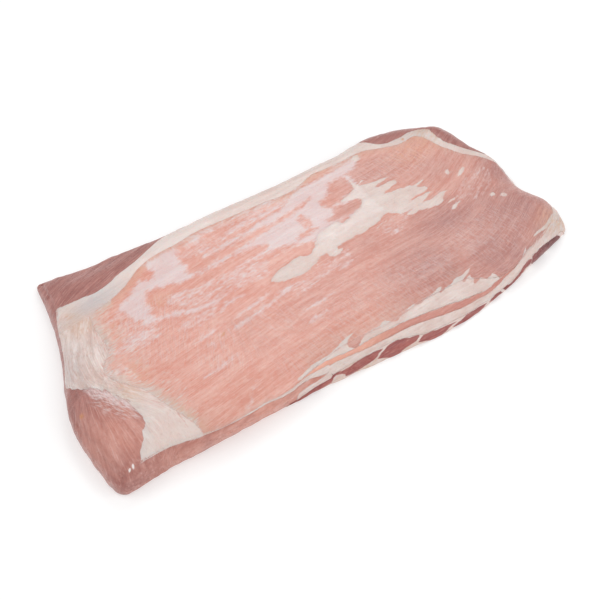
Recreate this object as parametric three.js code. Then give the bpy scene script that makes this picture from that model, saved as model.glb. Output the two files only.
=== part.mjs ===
// A raw, skinless, boneless pork belly slab, lying flat with its rib side down.
// Millimetres, +Z up. The slab's length runs along X, its near long side faces -Y,
// and its origin is the middle of its footprint, on the surface that it rests on.
//
// The slab is one stack of lean and fat sheets. Each sheet is a closed solid between two
// surfaces of the stack. Where a sheet was trimmed back it stops short of the slab's side,
// and the sheet under it shows.

import * as THREE from "three";

// ---- Driving sizes ---------------------------------------------------------------------

const CROWN = 34; // height of the flat middle of the slab
const SEAM = 0.35; // clearance between two sheets that lie on each other
const GRID = [34, 14]; // cells along and across that all sheets share
const RIM_CROWDING = 0.45; // how much the cells crowd towards the slab's sides

// Plan corners of the upper rim, before they are blunted.
const CORNER = {
  nearLeft: new THREE.Vector2(-5, -6),
  nearRight: new THREE.Vector2(564, 7),
  farRight: new THREE.Vector2(551, 208),
  farLeft: new THREE.Vector2(45, 266),
};
// How far each corner is pulled in, and how far along the sides that reaches.
const BLUNT = { nearLeft: 5, nearRight: 1, farRight: 1, farLeft: 0.5 };
const BLUNT_REACH = 26;

// The four sides, from left to right or from near to far, at even stations:
//   bulge   how far the upper rim stands out beyond the straight line between its corners
//   flare   how far the foot of the side stands out beyond the upper rim
//   rim     height of the upper rim
//   slope   width over which the top falls from the crown to the rim
const SIDES = {
  near: {
    bulge: [0, -2.5, 9, 10, 7, 1, 6, 4, 9, 20, 13, 0],
    flare: [4, 4, -4, -2, 5, 19, 21, 31, 26, 7, 4, 8],
    rim: [29, 32, 30, 29, 30, 30, 29, 30, 29, 27, 26, 22],
    slope: [30, 36, 40, 40, 36, 34, 30, 30, 34, 36, 40, 40],
  },
  far: {
    bulge: [0, -9.5, -11.5, -13, -9, -5.5, -2.5, 2.5, 8, 18, 15, 0],
    flare: [3, 3, 3, 3, 3, 3, 3, 3, 3, 3, 3, 3],
    rim: [15, 20, 24, 26, 27, 27, 27, 27, 27, 26, 24, 23],
    slope: [70, 60, 40, 22, 18, 16, 16, 16, 18, 22, 30, 34],
  },
  left: {
    bulge: [0, 10.5, 18.5, 15, 5, -1.5, -3, 0],
    flare: [3, 2, 2, 3, 5, 6, 6, 4],
    rim: [27, 27, 26, 26, 26, 25, 20, 15],
    slope: [26, 28, 30, 40, 44, 48, 60, 70],
  },
  right: {
    bulge: [0, 8.5, 1, 3, 9, 3, 2.5, 0],
    flare: [8, 4, 4, 4, 3, 3, 3, 3],
    rim: [22, 21, 20, 22, 25, 26, 25, 23],
    slope: [40, 30, 34, 40, 34, 28, 28, 30],
  },
};
const SIDE_BELLY = 1.8; // how far a cut side swells at half its height

// Swells and hollows of the top: plan centre, radii along and across, turn in degrees, height.
const SWELLS = {
  frontLeftMuscle: { x: 12, y: 42, along: 34, across: 60, turn: 0, height: 3 },
  backLeftMuscle: { x: 95, y: 222, along: 70, across: 18, turn: -6, height: 2 },
  backRightMuscle: { x: 536, y: 186, along: 20, across: 34, turn: 20, height: 2.5 },
  fatPatch: { x: 372, y: 128, along: 92, across: 30, turn: 10, height: 2.5 },
  fatPatchEnd: { x: 266, y: 108, along: 34, across: 16, turn: 4, height: 1.5 },
  leftHollow: { x: 66, y: 92, along: 26, across: 90, turn: 8, height: -1.6 },
  middleHollow: { x: 180, y: 80, along: 90, across: 46, turn: 0, height: -1.5 },
  frontFatLip: { x: 372, y: -6, along: 80, across: 16, turn: -4, height: 1.2 },
};

// Beds that the ribs left across the underside: plan x, half width and depth.
const RIB_BEDS = { at: [257, 330, 377, 437, 482], halfWidth: 15, depth: 2 };

// The sheets, from the top down. stop gives how far each one stops short of the slab's four
// sides, in millimetres at even stations, and thick its thickness at the near and the far
// long side, in parts of a hundred of the slab's. Some runs of a table have no sheet, because
// the sheet stops short there. taper is the length over which a trimmed edge thins out.
const FLUSH = [0, 0];
const SHEETS = [
  {
    name: "lean_top",
    colour: 0xe0aa9c,
    wallRows: 1,
    stop: {
      near: [0, 0, 0, 0, 0, 0, 0, 0, 0, 2, 10, 12],
      far: [
        80, 78, 71, 61, 47, 37, 30, 25, 25, 26, 27, 28, 30, 27, 20, 21, 22, 24, 34, 40, 34, 34, 34,
      ],
      left: [88, 86, 80, 76, 70, 49, 40, 52, 44, 34, 36, 40, 44, 50, 56],
      right: [12, 6, 0, 0, 0, 0, 0, 1, 15, 30, 36, 42, 46, 45, 44],
    },
    thick: {
      near: [4, 4, 4, 4, 4, 4, 4, 7, 4, 4, 4, 4, 4, 4, 4, 4, 4, 17, 15, 7, 4, 4, 4],
      far: [13, 13],
    },
    taper: 40,
  },
  {
    name: "fat_upper",
    colour: 0xe6d6cd,
    wallRows: 1,
    stop: {
      near: FLUSH,
      far: [150, 140, 130, 122, 124, 140],
      left: [200, 206, 222, 248],
      right: [106, 112, 128, 150],
    },
    thick: {
      near: [4, 4, 4, 4, 4, 4, 4, 4, 4, 7, 19, 15, 13, 19, 27, 35, 45, 26, 4, 4, 4, 4, 4],
      far: [5, 5],
    },
    taper: 40,
  },
  {
    name: "lean_strip",
    colour: 0xd69a8c,
    wallRows: 1,
    stop: {
      near: FLUSH,
      far: [142, 132, 122, 114, 116, 132],
      left: [190, 198, 214, 240],
      right: [90, 98, 116, 140],
    },
    thick: {
      near: [
        4, 4, 4, 4, 4, 4, 4, 4, 11, 18, 14, 19, 19, 17, 17, 19, 14, 11, 14, 4, 4, 4, 4,
      ],
      far: [8, 8],
    },
    taper: 40,
  },
  {
    name: "fat_main",
    colour: 0xe3d2ca,
    wallRows: 1,
    stop: {
      near: FLUSH,
      far: [54, 57, 55, 43, 32, 18, 5, 1, 0, 0, 0, 0, 0, 0, 0, 0, 0, -14, 24, 30, 23, 18, 16],
      left: [24, 37, 51, 53, 47, 32, 4, 0, 0, 0, 0, 0, 0, 0, 0],
      right: [0, 0, 0, 0, 0, 0, 0, -2, 0, 12, 22, 30, 31, 27, 16],
    },
    thick: {
      near: [
        5, 5, 5, 5, 4, 8, 10, 9, 11, 35, 26, 18, 19, 32, 28, 22, 21, 32, 47, 34, 30, 44, 60,
      ],
      far: [18, 18],
    },
    taper: 30,
  },
  {
    name: "lean_middle",
    colour: 0xbf8c84,
    wallRows: 3,
    stop: {
      near: [0, 0, 0, 0, -20, 28, 60, 70, 74, 76, 78, 80],
      far: FLUSH,
      left: FLUSH,
      right: [80, 72, 56, 30, 8, 0, 0, 0],
    },
    thick: {
      near: [90, 90, 90, 90, 66, 30, 20, 20, 20, 20, 20, 20],
      far: [32, 32, 27, 22, 22, 22, 22, 22, 22, 22, 24, 27],
    },
    taper: 46,
  },
  {
    name: "lean_bottom",
    colour: 0xa66767,
    wallRows: 1,
    stop: {
      near: FLUSH,
      far: FLUSH,
      left: [180, 168, 150, 138, 128, 128],
      right: FLUSH,
    },
    thick: {
      near: [
        30, 30, 30, 30, 30, 30, 30, 36, 38, 40, 40, 45, 48, 29, 22, 18, 18, 15, 23, 54, 66, 55, 50,
      ],
      far: [24, 24],
    },
    taper: 60,
  },
];
const EDGE = 4; // thickness that a sheet keeps at a trimmed edge, in parts of a hundred
const FADE = 24; // how far beyond a trimmed edge the sheets around it have closed up
const TRIMMED = 3; // a sheet that stops this far short of a side is fully trimmed there
const TRIM_RADIUS = 34; // rounding of a trimmed edge where it turns between two sides
const SNAP = 0.22; // an edge that passes this close to a grid point, in cells, goes through it

// ---- Helpers ---------------------------------------------------------------------------

const { lerp, clamp, smoothstep, degToRad } = THREE.MathUtils;
const sum = (values) => values.reduce((total, one) => total + one, 0);

/** Smooth curve through values at even stations (Catmull-Rom), at share u from 0 to 1. */
function through(values, u) {
  const last = values.length - 1;
  const at = clamp(u, 0, 1) * last;
  const i = Math.min(Math.floor(at), last - 1);
  const f = at - i;
  const [a, b, c, d] = [i - 1, i, i + 1, i + 2].map((k) => values[clamp(k, 0, last)]);
  return b + 0.5 * f * (c - a + f * (2 * a - 5 * b + 4 * c - d + f * (3 * (b - c) + d - a)));
}

/** Shares from 0 to 1 in n steps that crowd together towards both ends. */
function crowded(n) {
  const step = (i) => i / n - (RIM_CROWDING * Math.sin((2 * Math.PI * i) / n)) / (2 * Math.PI);
  return Array.from({ length: n + 1 }, (_, i) => step(i));
}

const LENGTH = CORNER.nearLeft.distanceTo(CORNER.nearRight);
const WIDTH = CORNER.nearLeft.distanceTo(CORNER.farLeft);

/** The four sides with the share along each and the distance from it, at shares (s, t). */
function sidesAt(s, t) {
  return [
    ["near", s, t * WIDTH],
    ["far", s, (1 - t) * WIDTH],
    ["left", t, s * LENGTH],
    ["right", t, (1 - s) * LENGTH],
  ];
}

// ---- The slab's outer form, over shares s along and t across ------------------------------

/** How far a side stands out of its chord at relative height q, with 0 at the foot. */
function standOut(side, u, q) {
  const { bulge, flare } = SIDES[side];
  const foot = 1 - q;
  return through(bulge, u) + through(flare, u) * foot + SIDE_BELLY * 4 * q * foot;
}

/** Plan point of shares (s, t) at relative height q: a patch between the four curved sides. */
function plan(s, t, q) {
  const near = CORNER.nearLeft.clone().lerp(CORNER.nearRight, s);
  const far = CORNER.farLeft.clone().lerp(CORNER.farRight, s);
  const point = near.lerp(far, t);
  point.y += standOut("far", s, q) * t - standOut("near", s, q) * (1 - t);
  point.x += standOut("right", t, q) * s - standOut("left", t, q) * (1 - s);
  for (const [name, depth] of Object.entries(BLUNT)) {
    const [toRight, toFar] = [name.endsWith("Right"), name.startsWith("far")];
    const along = (toRight ? 1 - s : s) * LENGTH;
    const across = (toFar ? 1 - t : t) * WIDTH;
    const pull = depth * (1 - smoothstep(along, 0, BLUNT_REACH));
    const inward = pull * (1 - smoothstep(across, 0, BLUNT_REACH));
    point.x += toRight ? -inward : inward;
    point.y += toFar ? -inward : inward;
  }
  return point;
}

/** Height that a swell adds at a plan point: full in its middle, nothing beyond its radii. */
function swell({ x, y, along, across, turn, height }, point) {
  const offset = point.clone().sub(new THREE.Vector2(x, y));
  offset.rotateAround(new THREE.Vector2(), -degToRad(turn));
  const reach = Math.hypot(offset.x / along, offset.y / across);
  return height * (1 - smoothstep(reach, 0, 1));
}

/** Height of the top: the crown and its swells, less the falls towards the four sides. */
function topHeight(s, t) {
  const falls = sidesAt(s, t).map(([side, u, distance]) => {
    const { rim, slope } = SIDES[side];
    const inward = clamp(distance / through(slope, u), 0, 1);
    return (CROWN - through(rim, u)) * (1 - inward) ** 2;
  });
  const swells = Object.values(SWELLS).map((one) => swell(one, plan(s, t, 1)));
  return CROWN + sum(swells) - Math.cbrt(sum(falls.map((one) => one ** 3)));
}

/** Height of the underside: flat pads between the beds of the ribs. */
function baseHeight(s, t) {
  const { at, halfWidth, depth } = RIB_BEDS;
  const { x } = plan(s, t, 0);
  return sum(at.map((bed) => depth * (1 - smoothstep(Math.abs(x - bed), 0, halfWidth))));
}

// ---- The stack of sheets -------------------------------------------------------------------

/** Distance of shares (s, t) inside a sheet's trimmed outline, negative outside it. */
function insideBy({ stop }, s, t) {
  const power = 2.5;
  const near = sidesAt(s, t).map(([side, u, distance]) => {
    const short = through(stop[side], u);
    const reach = Math.max(0, TRIM_RADIUS - (distance - short));
    return smoothstep(short, 0, TRIMMED) * reach ** power;
  });
  return TRIM_RADIUS - sum(near) ** (1 / power);
}

/** How much of a sheet is present, from 1 inside its outline to 0 beyond the fade. */
function presence(sheet, s, t) {
  return smoothstep(insideBy(sheet, s, t), -FADE, 0);
}

/** Relative thickness of a sheet: full inside, EDGE at its trimmed outline, then fading. */
function share(sheet, s, t) {
  const { stop, thick, taper } = sheet;
  const full = lerp(through(thick.near, s), through(thick.far, s), t);
  const thinned = sidesAt(s, t).map(([side, u, distance]) => {
    const short = through(stop[side], u);
    const inward = smoothstep(distance - short, 0, taper);
    return lerp(1, inward, smoothstep(short, 0, TRIMMED * 4));
  });
  return lerp(EDGE, full, Math.min(...thinned)) * presence(sheet, s, t);
}

/** Relative heights [lower, upper] of every sheet of the stack at shares (s, t). */
function stackAt(s, t, height) {
  const shares = SHEETS.map((sheet) => share(sheet, s, t));
  const gaps = SHEETS.map((sheet, k) => (k ? SEAM * presence(sheet, s, t) : 0));
  const scale = (height - sum(gaps)) / sum(shares);
  let top = height;
  return SHEETS.map((_, k) => {
    const upper = top - gaps[k];
    const last = k === SHEETS.length - 1;
    top = last ? 0 : upper - shares[k] * scale;
    return [top / height, upper / height];
  });
}

/** Everything about one grid point: its plan shares, heights, and the stack over it. */
function column(s, t) {
  const [base, top] = [baseHeight(s, t), topHeight(s, t)];
  return { s, t, base, top, stack: stackAt(s, t, top - base) };
}

const [ALONG, ACROSS] = GRID;
const COLUMNS = crowded(ACROSS).flatMap((t) => crowded(ALONG).map((s) => column(s, t)));

/** Point of a column at relative height q. */
function pointAt({ s, t, base, top }, q) {
  const { x, y } = plan(s, t, q);
  return new THREE.Vector3(x, y, lerp(base, top, q));
}

/** Distances inside a sheet's outline at the grid points, with near misses set to zero. */
function outlineDistances(sheet) {
  const distances = COLUMNS.map(({ s, t }) => insideBy(sheet, s, t));
  const snapped = [...distances];
  const row = ALONG + 1;
  distances.forEach((mine, k) => {
    const neighbours = [1, row, row + 1].map((step) => k + step);
    neighbours.forEach((other) => {
      const theirs = distances[other];
      const adjacent = theirs !== undefined && (other % row) - (k % row) >= 0;
      if (!adjacent || mine < 0 === theirs < 0) return;
      const crossing = mine / (mine - theirs);
      if (crossing < SNAP) snapped[k] = 0;
      if (crossing > 1 - SNAP) snapped[other] = 0;
    });
  });
  return snapped;
}

/** A sheet's closed mesh: the part of the shared grid inside its outline, and its wall. */
function sheetMesh(sheet, index) {
  const inside = outlineDistances(sheet);
  const verticals = new Map(); // one per grid point or crossing: a wall's worth of points
  const rows = sheet.wallRows;

  /** Points up the sheet's wall at grid point k. */
  const pointsAt = (k) => {
    const [lower, upper] = COLUMNS[k].stack[index];
    const levels = Array.from({ length: rows + 1 }, (_, i) => lerp(lower, upper, i / rows));
    return levels.map((q) => pointAt(COLUMNS[k], q));
  };
  const keep = (key, points) => {
    if (!verticals.has(key)) verticals.set(key, { id: verticals.size, points: points() });
    return verticals.get(key);
  };
  const verticalAt = (k) => keep(`${k}`, () => pointsAt(k));
  const crossingOf = (k, other) => {
    const [a, b] = k < other ? [k, other] : [other, k];
    const along = inside[a] / (inside[a] - inside[b]);
    const blend = () => {
      const ends = pointsAt(b);
      return pointsAt(a).map((point, i) => point.lerp(ends[i], along));
    };
    return keep(`${a}-${b}`, blend);
  };

  /** The part of a triangle of the grid that lies inside the outline, as verticals. */
  const clipped = (corners) =>
    corners.flatMap((k, i) => {
      const next = corners[(i + 1) % 3];
      const here = inside[k] >= 0 ? [verticalAt(k)] : [];
      const cut = inside[k] * inside[next] < 0 ? [crossingOf(k, next)] : [];
      return [...here, ...cut];
    });

  const triangles = [];
  for (let j = 0; j < ACROSS; j++) {
    for (let i = 0; i < ALONG; i++) {
      const a = j * (ALONG + 1) + i;
      const [b, c, d] = [a + 1, a + ALONG + 2, a + ALONG + 1];
      for (const corners of [[a, b, c], [a, c, d]]) {
        const [first, ...rest] = clipped(corners);
        for (let n = 0; n + 1 < rest.length; n++) triangles.push([first, rest[n], rest[n + 1]]);
      }
    }
  }

  const stride = rows + 1;
  const at = ({ id }, level) => id * stride + level;
  const faces = [];
  const open = new Map(); // directed edges of the top that have no triangle beyond them
  for (const [a, b, c] of triangles) {
    faces.push(at(a, rows), at(b, rows), at(c, rows), at(c, 0), at(b, 0), at(a, 0));
    for (const [from, to] of [[a, b], [b, c], [c, a]]) {
      if (!open.delete(`${to.id}>${from.id}`)) open.set(`${from.id}>${to.id}`, [from, to]);
    }
  }
  for (const [from, to] of open.values()) {
    for (let level = 0; level < rows; level++) {
      const up = level + 1;
      faces.push(at(from, level), at(to, level), at(to, up));
      faces.push(at(from, level), at(to, up), at(from, up));
    }
  }

  const used = [...new Set(faces)].sort((a, b) => a - b);
  const place = new Map(used.map((k, n) => [k, n]));
  const all = [...verticals.values()].flatMap(({ points }) => points);
  const positions = used.flatMap((k) => all[k].toArray());

  const geometry = new THREE.BufferGeometry();
  geometry.setAttribute("position", new THREE.Float32BufferAttribute(positions, 3));
  geometry.setIndex(faces.map((k) => place.get(k)));
  geometry.computeVertexNormals();
  const finish = new THREE.MeshStandardMaterial({ color: sheet.colour, roughness: 0.45 });
  const mesh = new THREE.Mesh(geometry, finish);
  mesh.name = sheet.name;
  return mesh;
}

// ---- The slab ------------------------------------------------------------------------------

const slab = new THREE.Group();
slab.name = "pork_belly_slab";
SHEETS.forEach((sheet, index) => slab.add(sheetMesh(sheet, index)));

const footprint = new THREE.Box3().setFromObject(slab);
const middle = footprint.getCenter(new THREE.Vector3());
slab.position.set(-middle.x, -middle.y, -footprint.min.z);

export default slab;
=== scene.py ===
"""A raw, skinless pork belly slab on a pale table, dressed as six sheets of lean and fat.

The slab is a stack of sheets. Shares s (left to right) and t (near to far) name a place of
the slab, and a relative height q (0 at the foot, 1 at the top) a point of its column. Every
sheet is a closed mesh between two surfaces of the stack, cut off at its trimmed outline.
Sizes are in millimetres in the slab's own plan, and meshes are made in metres.
"""

import logging
import math
from dataclasses import dataclass, field
from enum import Enum

import bpy
import numpy as np
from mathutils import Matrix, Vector


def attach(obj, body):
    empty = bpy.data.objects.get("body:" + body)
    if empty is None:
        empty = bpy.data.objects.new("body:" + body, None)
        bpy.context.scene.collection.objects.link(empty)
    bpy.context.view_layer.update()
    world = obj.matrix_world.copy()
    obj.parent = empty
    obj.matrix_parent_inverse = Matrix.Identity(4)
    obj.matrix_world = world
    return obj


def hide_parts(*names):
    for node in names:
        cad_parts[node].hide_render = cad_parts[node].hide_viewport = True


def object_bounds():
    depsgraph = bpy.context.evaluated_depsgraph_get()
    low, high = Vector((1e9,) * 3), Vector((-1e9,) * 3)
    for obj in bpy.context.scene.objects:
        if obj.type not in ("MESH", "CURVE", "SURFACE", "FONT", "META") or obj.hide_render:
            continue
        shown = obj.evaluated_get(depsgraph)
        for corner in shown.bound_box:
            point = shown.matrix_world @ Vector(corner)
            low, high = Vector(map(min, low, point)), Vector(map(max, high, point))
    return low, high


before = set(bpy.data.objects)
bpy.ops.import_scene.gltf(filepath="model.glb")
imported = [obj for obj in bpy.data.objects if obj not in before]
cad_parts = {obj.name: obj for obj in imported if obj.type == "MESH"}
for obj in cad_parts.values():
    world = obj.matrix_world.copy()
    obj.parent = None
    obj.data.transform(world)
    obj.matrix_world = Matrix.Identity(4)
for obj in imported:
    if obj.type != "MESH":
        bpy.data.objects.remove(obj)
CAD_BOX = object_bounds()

Array = np.ndarray
Colour = tuple[float, float, float, float]
Point = tuple[float, float, float]
Range = tuple[float, float]
Floats = tuple[float, ...]
Pair = tuple[Array, Array]
Socket = bpy.types.NodeSocket

LOG = logging.getLogger("pork_belly")
METRES = 0.001


class Side(Enum):
    """The four sides of the slab, each by the way out through it in the plan."""

    NEAR = (0, -1)
    FAR = (0, 1)
    LEFT = (-1, 0)
    RIGHT = (1, 0)

    @property
    def is_long(self) -> bool:
        """Whether it is one of the two long sides."""
        return self.value[0] == 0

    def push(self, x: Array, y: Array, out: Array) -> Pair:
        """Move places of the plan out through the side."""
        return x + self.value[0] * out, y + self.value[1] * out


class Tissue(Enum):
    """What a sheet is made of, as the sign of its fat field."""

    LEAN = -1
    FAT = 1


class Layer(Enum):
    """The sheets of the slab from the top down, by the names of their nodes."""

    LEAN_TOP = "lean_top"
    FAT_UPPER = "fat_upper"
    LEAN_STRIP = "lean_strip"
    FAT_MAIN = "fat_main"
    LEAN_MIDDLE = "lean_middle"
    LEAN_BOTTOM = "lean_bottom"


# ---- Whole-array helpers ----


def through(values: Floats, share: Array) -> Array:
    """Smooth curve through values at even stations (Catmull-Rom).

    Args:
        values: the values at the stations, first to last.
        share: where to read the curve, from 0 at the first station to 1 at the last.

    Returns:
        The curve's value at each share.
    """
    stations = np.asarray(values, float)
    last = len(stations) - 1
    at = np.clip(share, 0, 1) * last
    i = np.minimum(at.astype(int), last - 1)
    f = at - i
    a, b, c, d = (stations[np.clip(i + k, 0, last)] for k in (-1, 0, 1, 2))
    return b + 0.5 * f * (c - a + f * (2 * a - 5 * b + 4 * c - d + f * (3 * (b - c) + d - a)))


def smoothstep(x: Array, low: float, high: float) -> Array:
    """Rise from 0 at low to 1 at high along the cubic 3u^2 - 2u^3."""
    u = np.clip((x - low) / (high - low), 0, 1)
    return u * u * (3 - 2 * u)


def past(x: Array, start: float, bend: float) -> Array:
    """How far x lies past start, with a bend for a corner: b log(1 + e^((x - start) / b))."""
    return np.logaddexp(0, (x - start) / bend) * bend


def mix(a: Array, b: Array, share: Array) -> Array:
    """Straight blend from a to b."""
    return a + (b - a) * share


def turned(x: Array, y: Array, degrees: float) -> Pair:
    """Distances along a direction of the plan and, to its left, across it."""
    c, s = math.cos(math.radians(degrees)), math.sin(math.radians(degrees))
    return x * c + y * s, y * c - x * s


def rounded(first: Array, second: Array, radius: Array | float) -> Pair:
    """How far points near a square edge move to round it.

    With a and b the relative closeness to both faces, 1 on a face and 0 a radius away, the
    square between them becomes a quarter disc: a sqrt(1 - b^2 / 2) and b sqrt(1 - a^2 / 2).

    Args:
        first, second: distances from the two faces.
        radius: radius of the rounding.

    Returns:
        The moves away from the first and from the second face.
    """
    a, b = np.clip(1 - first / radius, 0, 1), np.clip(1 - second / radius, 0, 1)
    both = (a > 0) & (b > 0)
    away = radius * (1 - a * np.sqrt(1 - b * b / 2)) - first
    aside = radius * (1 - b * np.sqrt(1 - a * a / 2)) - second
    return np.where(both, away, 0), np.where(both, aside, 0)


@dataclass(frozen=True)
class Noise:
    """Smooth random relief: random values on a unit lattice, joined by quintic curves."""

    seed: int
    size: int = 256

    def __call__(self, x: Array, y: Array) -> Array:
        """One octave of the noise.

        Args:
            x, y: coordinates, in lattice steps.

        Returns:
            Values from -1 to 1.
        """
        draw = np.random.default_rng(self.seed)
        lattice = draw.uniform(-1, 1, (self.size, self.size))
        i, j = np.floor(x).astype(int), np.floor(y).astype(int)
        u, v = x - i, y - j
        u, v = (w**3 * (w * (6 * w - 15) + 10) for w in (u, v))
        i0, j0, i1, j1 = (k % self.size for k in (i, j, i + 1, j + 1))
        low = mix(lattice[i0, j0], lattice[i1, j0], u)
        high = mix(lattice[i0, j1], lattice[i1, j1], u)
        return mix(low, high, v)


@dataclass(frozen=True)
class Ripple:
    """Noise of one size: its height, its steps along and across, and its slant and start.

    slant is how many steps along it shifts for each unit across, and start how many steps
    across it begins at.
    """

    seed: int
    height: float
    along: float
    across: float = 1.0
    slant: float = 0.0
    start: float = 0.0

    def at(self, x: Array, y: Array, later: int = 0) -> Array:
        """Height times the noise, counted in steps, of the seed that comes later by a number."""
        steps = x / self.along + y * self.slant
        return self.height * Noise(self.seed + later)(steps, y / self.across + self.start)


Ripples = tuple[Ripple, ...]


def ripples(parts: Ripples, x: Array, y: Array, later: int = 0) -> Array:
    """The sum of several ripples at each point."""
    return sum(part.at(x, y, later) for part in parts)


@dataclass(frozen=True)
class Blob:
    """An oval place of the slab's plan, in millimetres and degrees, and its full weight."""

    x: float
    y: float
    along: float
    across: float
    turn: float = 0.0
    full: float = 1.0

    def reach(self, x: Array, y: Array) -> Array:
        """Distance from the middle, as a multiple of the oval's own radius in that direction."""
        along, across = turned(x - self.x, y - self.y, self.turn)
        return np.hypot(along / self.along, across / self.across)

    def inside(self, x: Array, y: Array) -> Array:
        """About how many millimetres a plan point lies inside the oval."""
        return (1 - self.reach(x, y)) * min(self.along, self.across)

    def weight(self, x: Array, y: Array) -> Array:
        """Full in the middle, nothing beyond the oval, along a smooth cubic."""
        return self.full * (1 - smoothstep(self.reach(x, y), 0, 1))


@dataclass(frozen=True)
class Outline:
    """A place of the slab's plan inside a closed run of points, in millimetres.

    full is the most millimetres that its middle counts as: noise breaks a patch up where it
    is small, so that a thin film turns into a mottle. Points further out than reach count
    as that far out.
    """

    points: tuple[Range, ...]
    full: float = 14.0
    reach: float = 14.0

    def inside(self, x: Array, y: Array) -> Array:
        """About how many millimetres a plan point lies inside the outline.

        It is the distance to the nearest straight run between two points, negative where a
        ray towards +x crosses an even number of runs, cut off at full.

        Args:
            x, y: plan coordinates.

        Returns:
            Millimetres, never below minus the reach.
        """
        corners = np.asarray(self.points, float)
        low, high = corners.min(0) - self.reach, corners.max(0) + self.reach
        close = (x > low[0]) & (x < high[0]) & (y > low[1]) & (y < high[1])
        px, py = x[close], y[close]
        nearest, odd = np.full_like(px, self.reach), np.zeros_like(px, bool)
        for (ax, ay), (bx, by) in zip(corners, np.roll(corners, -1, axis=0)):
            run_x, run_y = bx - ax, by - ay
            share = np.clip(((px - ax) * run_x + (py - ay) * run_y) / (run_x**2 + run_y**2), 0, 1)
            nearest = np.minimum(nearest, np.hypot(px - ax - share * run_x, py - ay - share * run_y))
            if run_y:
                odd ^= ((ay > py) != (by > py)) & (px < ax + (py - ay) * run_x / run_y)
        found = np.full_like(x, -self.reach)
        found[close] = np.where(odd, nearest, -nearest)
        return np.minimum(found, self.full)


Blobs = tuple[Blob, ...]
Patches = tuple[Blob | Outline, ...]


def inside_any(patches: Patches, x: Array, y: Array) -> Array:
    """How far inside the nearest of several patches a plan point lies, negative outside."""
    return np.max([patch.inside(x, y) for patch in patches], axis=0)


def weights(blobs: Blobs, x: Array, y: Array) -> Array:
    """The strongest weight of several ovals at each plan point, 0 where there are none."""
    return np.max([np.zeros_like(x), *(blob.weight(x, y) for blob in blobs)], axis=0)


# ---- The slab's form ----


@dataclass(frozen=True)
class SideForm:
    """One side of the slab at even stations, from left to right or from near to far.

    bulge is how far the upper rim stands out of the straight line between its corners,
    flare how far the foot stands out of the rim, rim the height of the upper rim, and slope
    the width over which the top falls to it. edge is the rounding of the upper rim, and
    crags how rough the side is.
    """

    bulge: Floats
    flare: Floats
    rim: Floats
    slope: Floats
    edge: Floats
    crags: float


@dataclass(frozen=True)
class Swell:
    """A swell, or with a negative height a hollow, of the slab's top."""

    place: Blob
    height: float


@dataclass(frozen=True)
class SheetForm:
    """One sheet of the stack.

    stops tells how far the sheet ends short of a side, unless it is flush with it, near and
    far are its relative thickness at the two long sides, and taper is the width over which a
    trimmed edge thins out. rows is the number of mesh rows up its wall, belly how far a cut
    side swells between the sheet's two borders, and fray how ragged its outline is.
    """

    layer: Layer
    tissue: Tissue
    slot: str
    stops: dict[Side, Floats]
    near: Floats
    far: Floats
    taper: float
    rows: int
    belly: float
    fray: float = 0.0

    @property
    def name(self) -> str:
        """The name of the sheet's node."""
        return self.layer.value


FLUSH: Floats = (0.0, 0.0)


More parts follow.
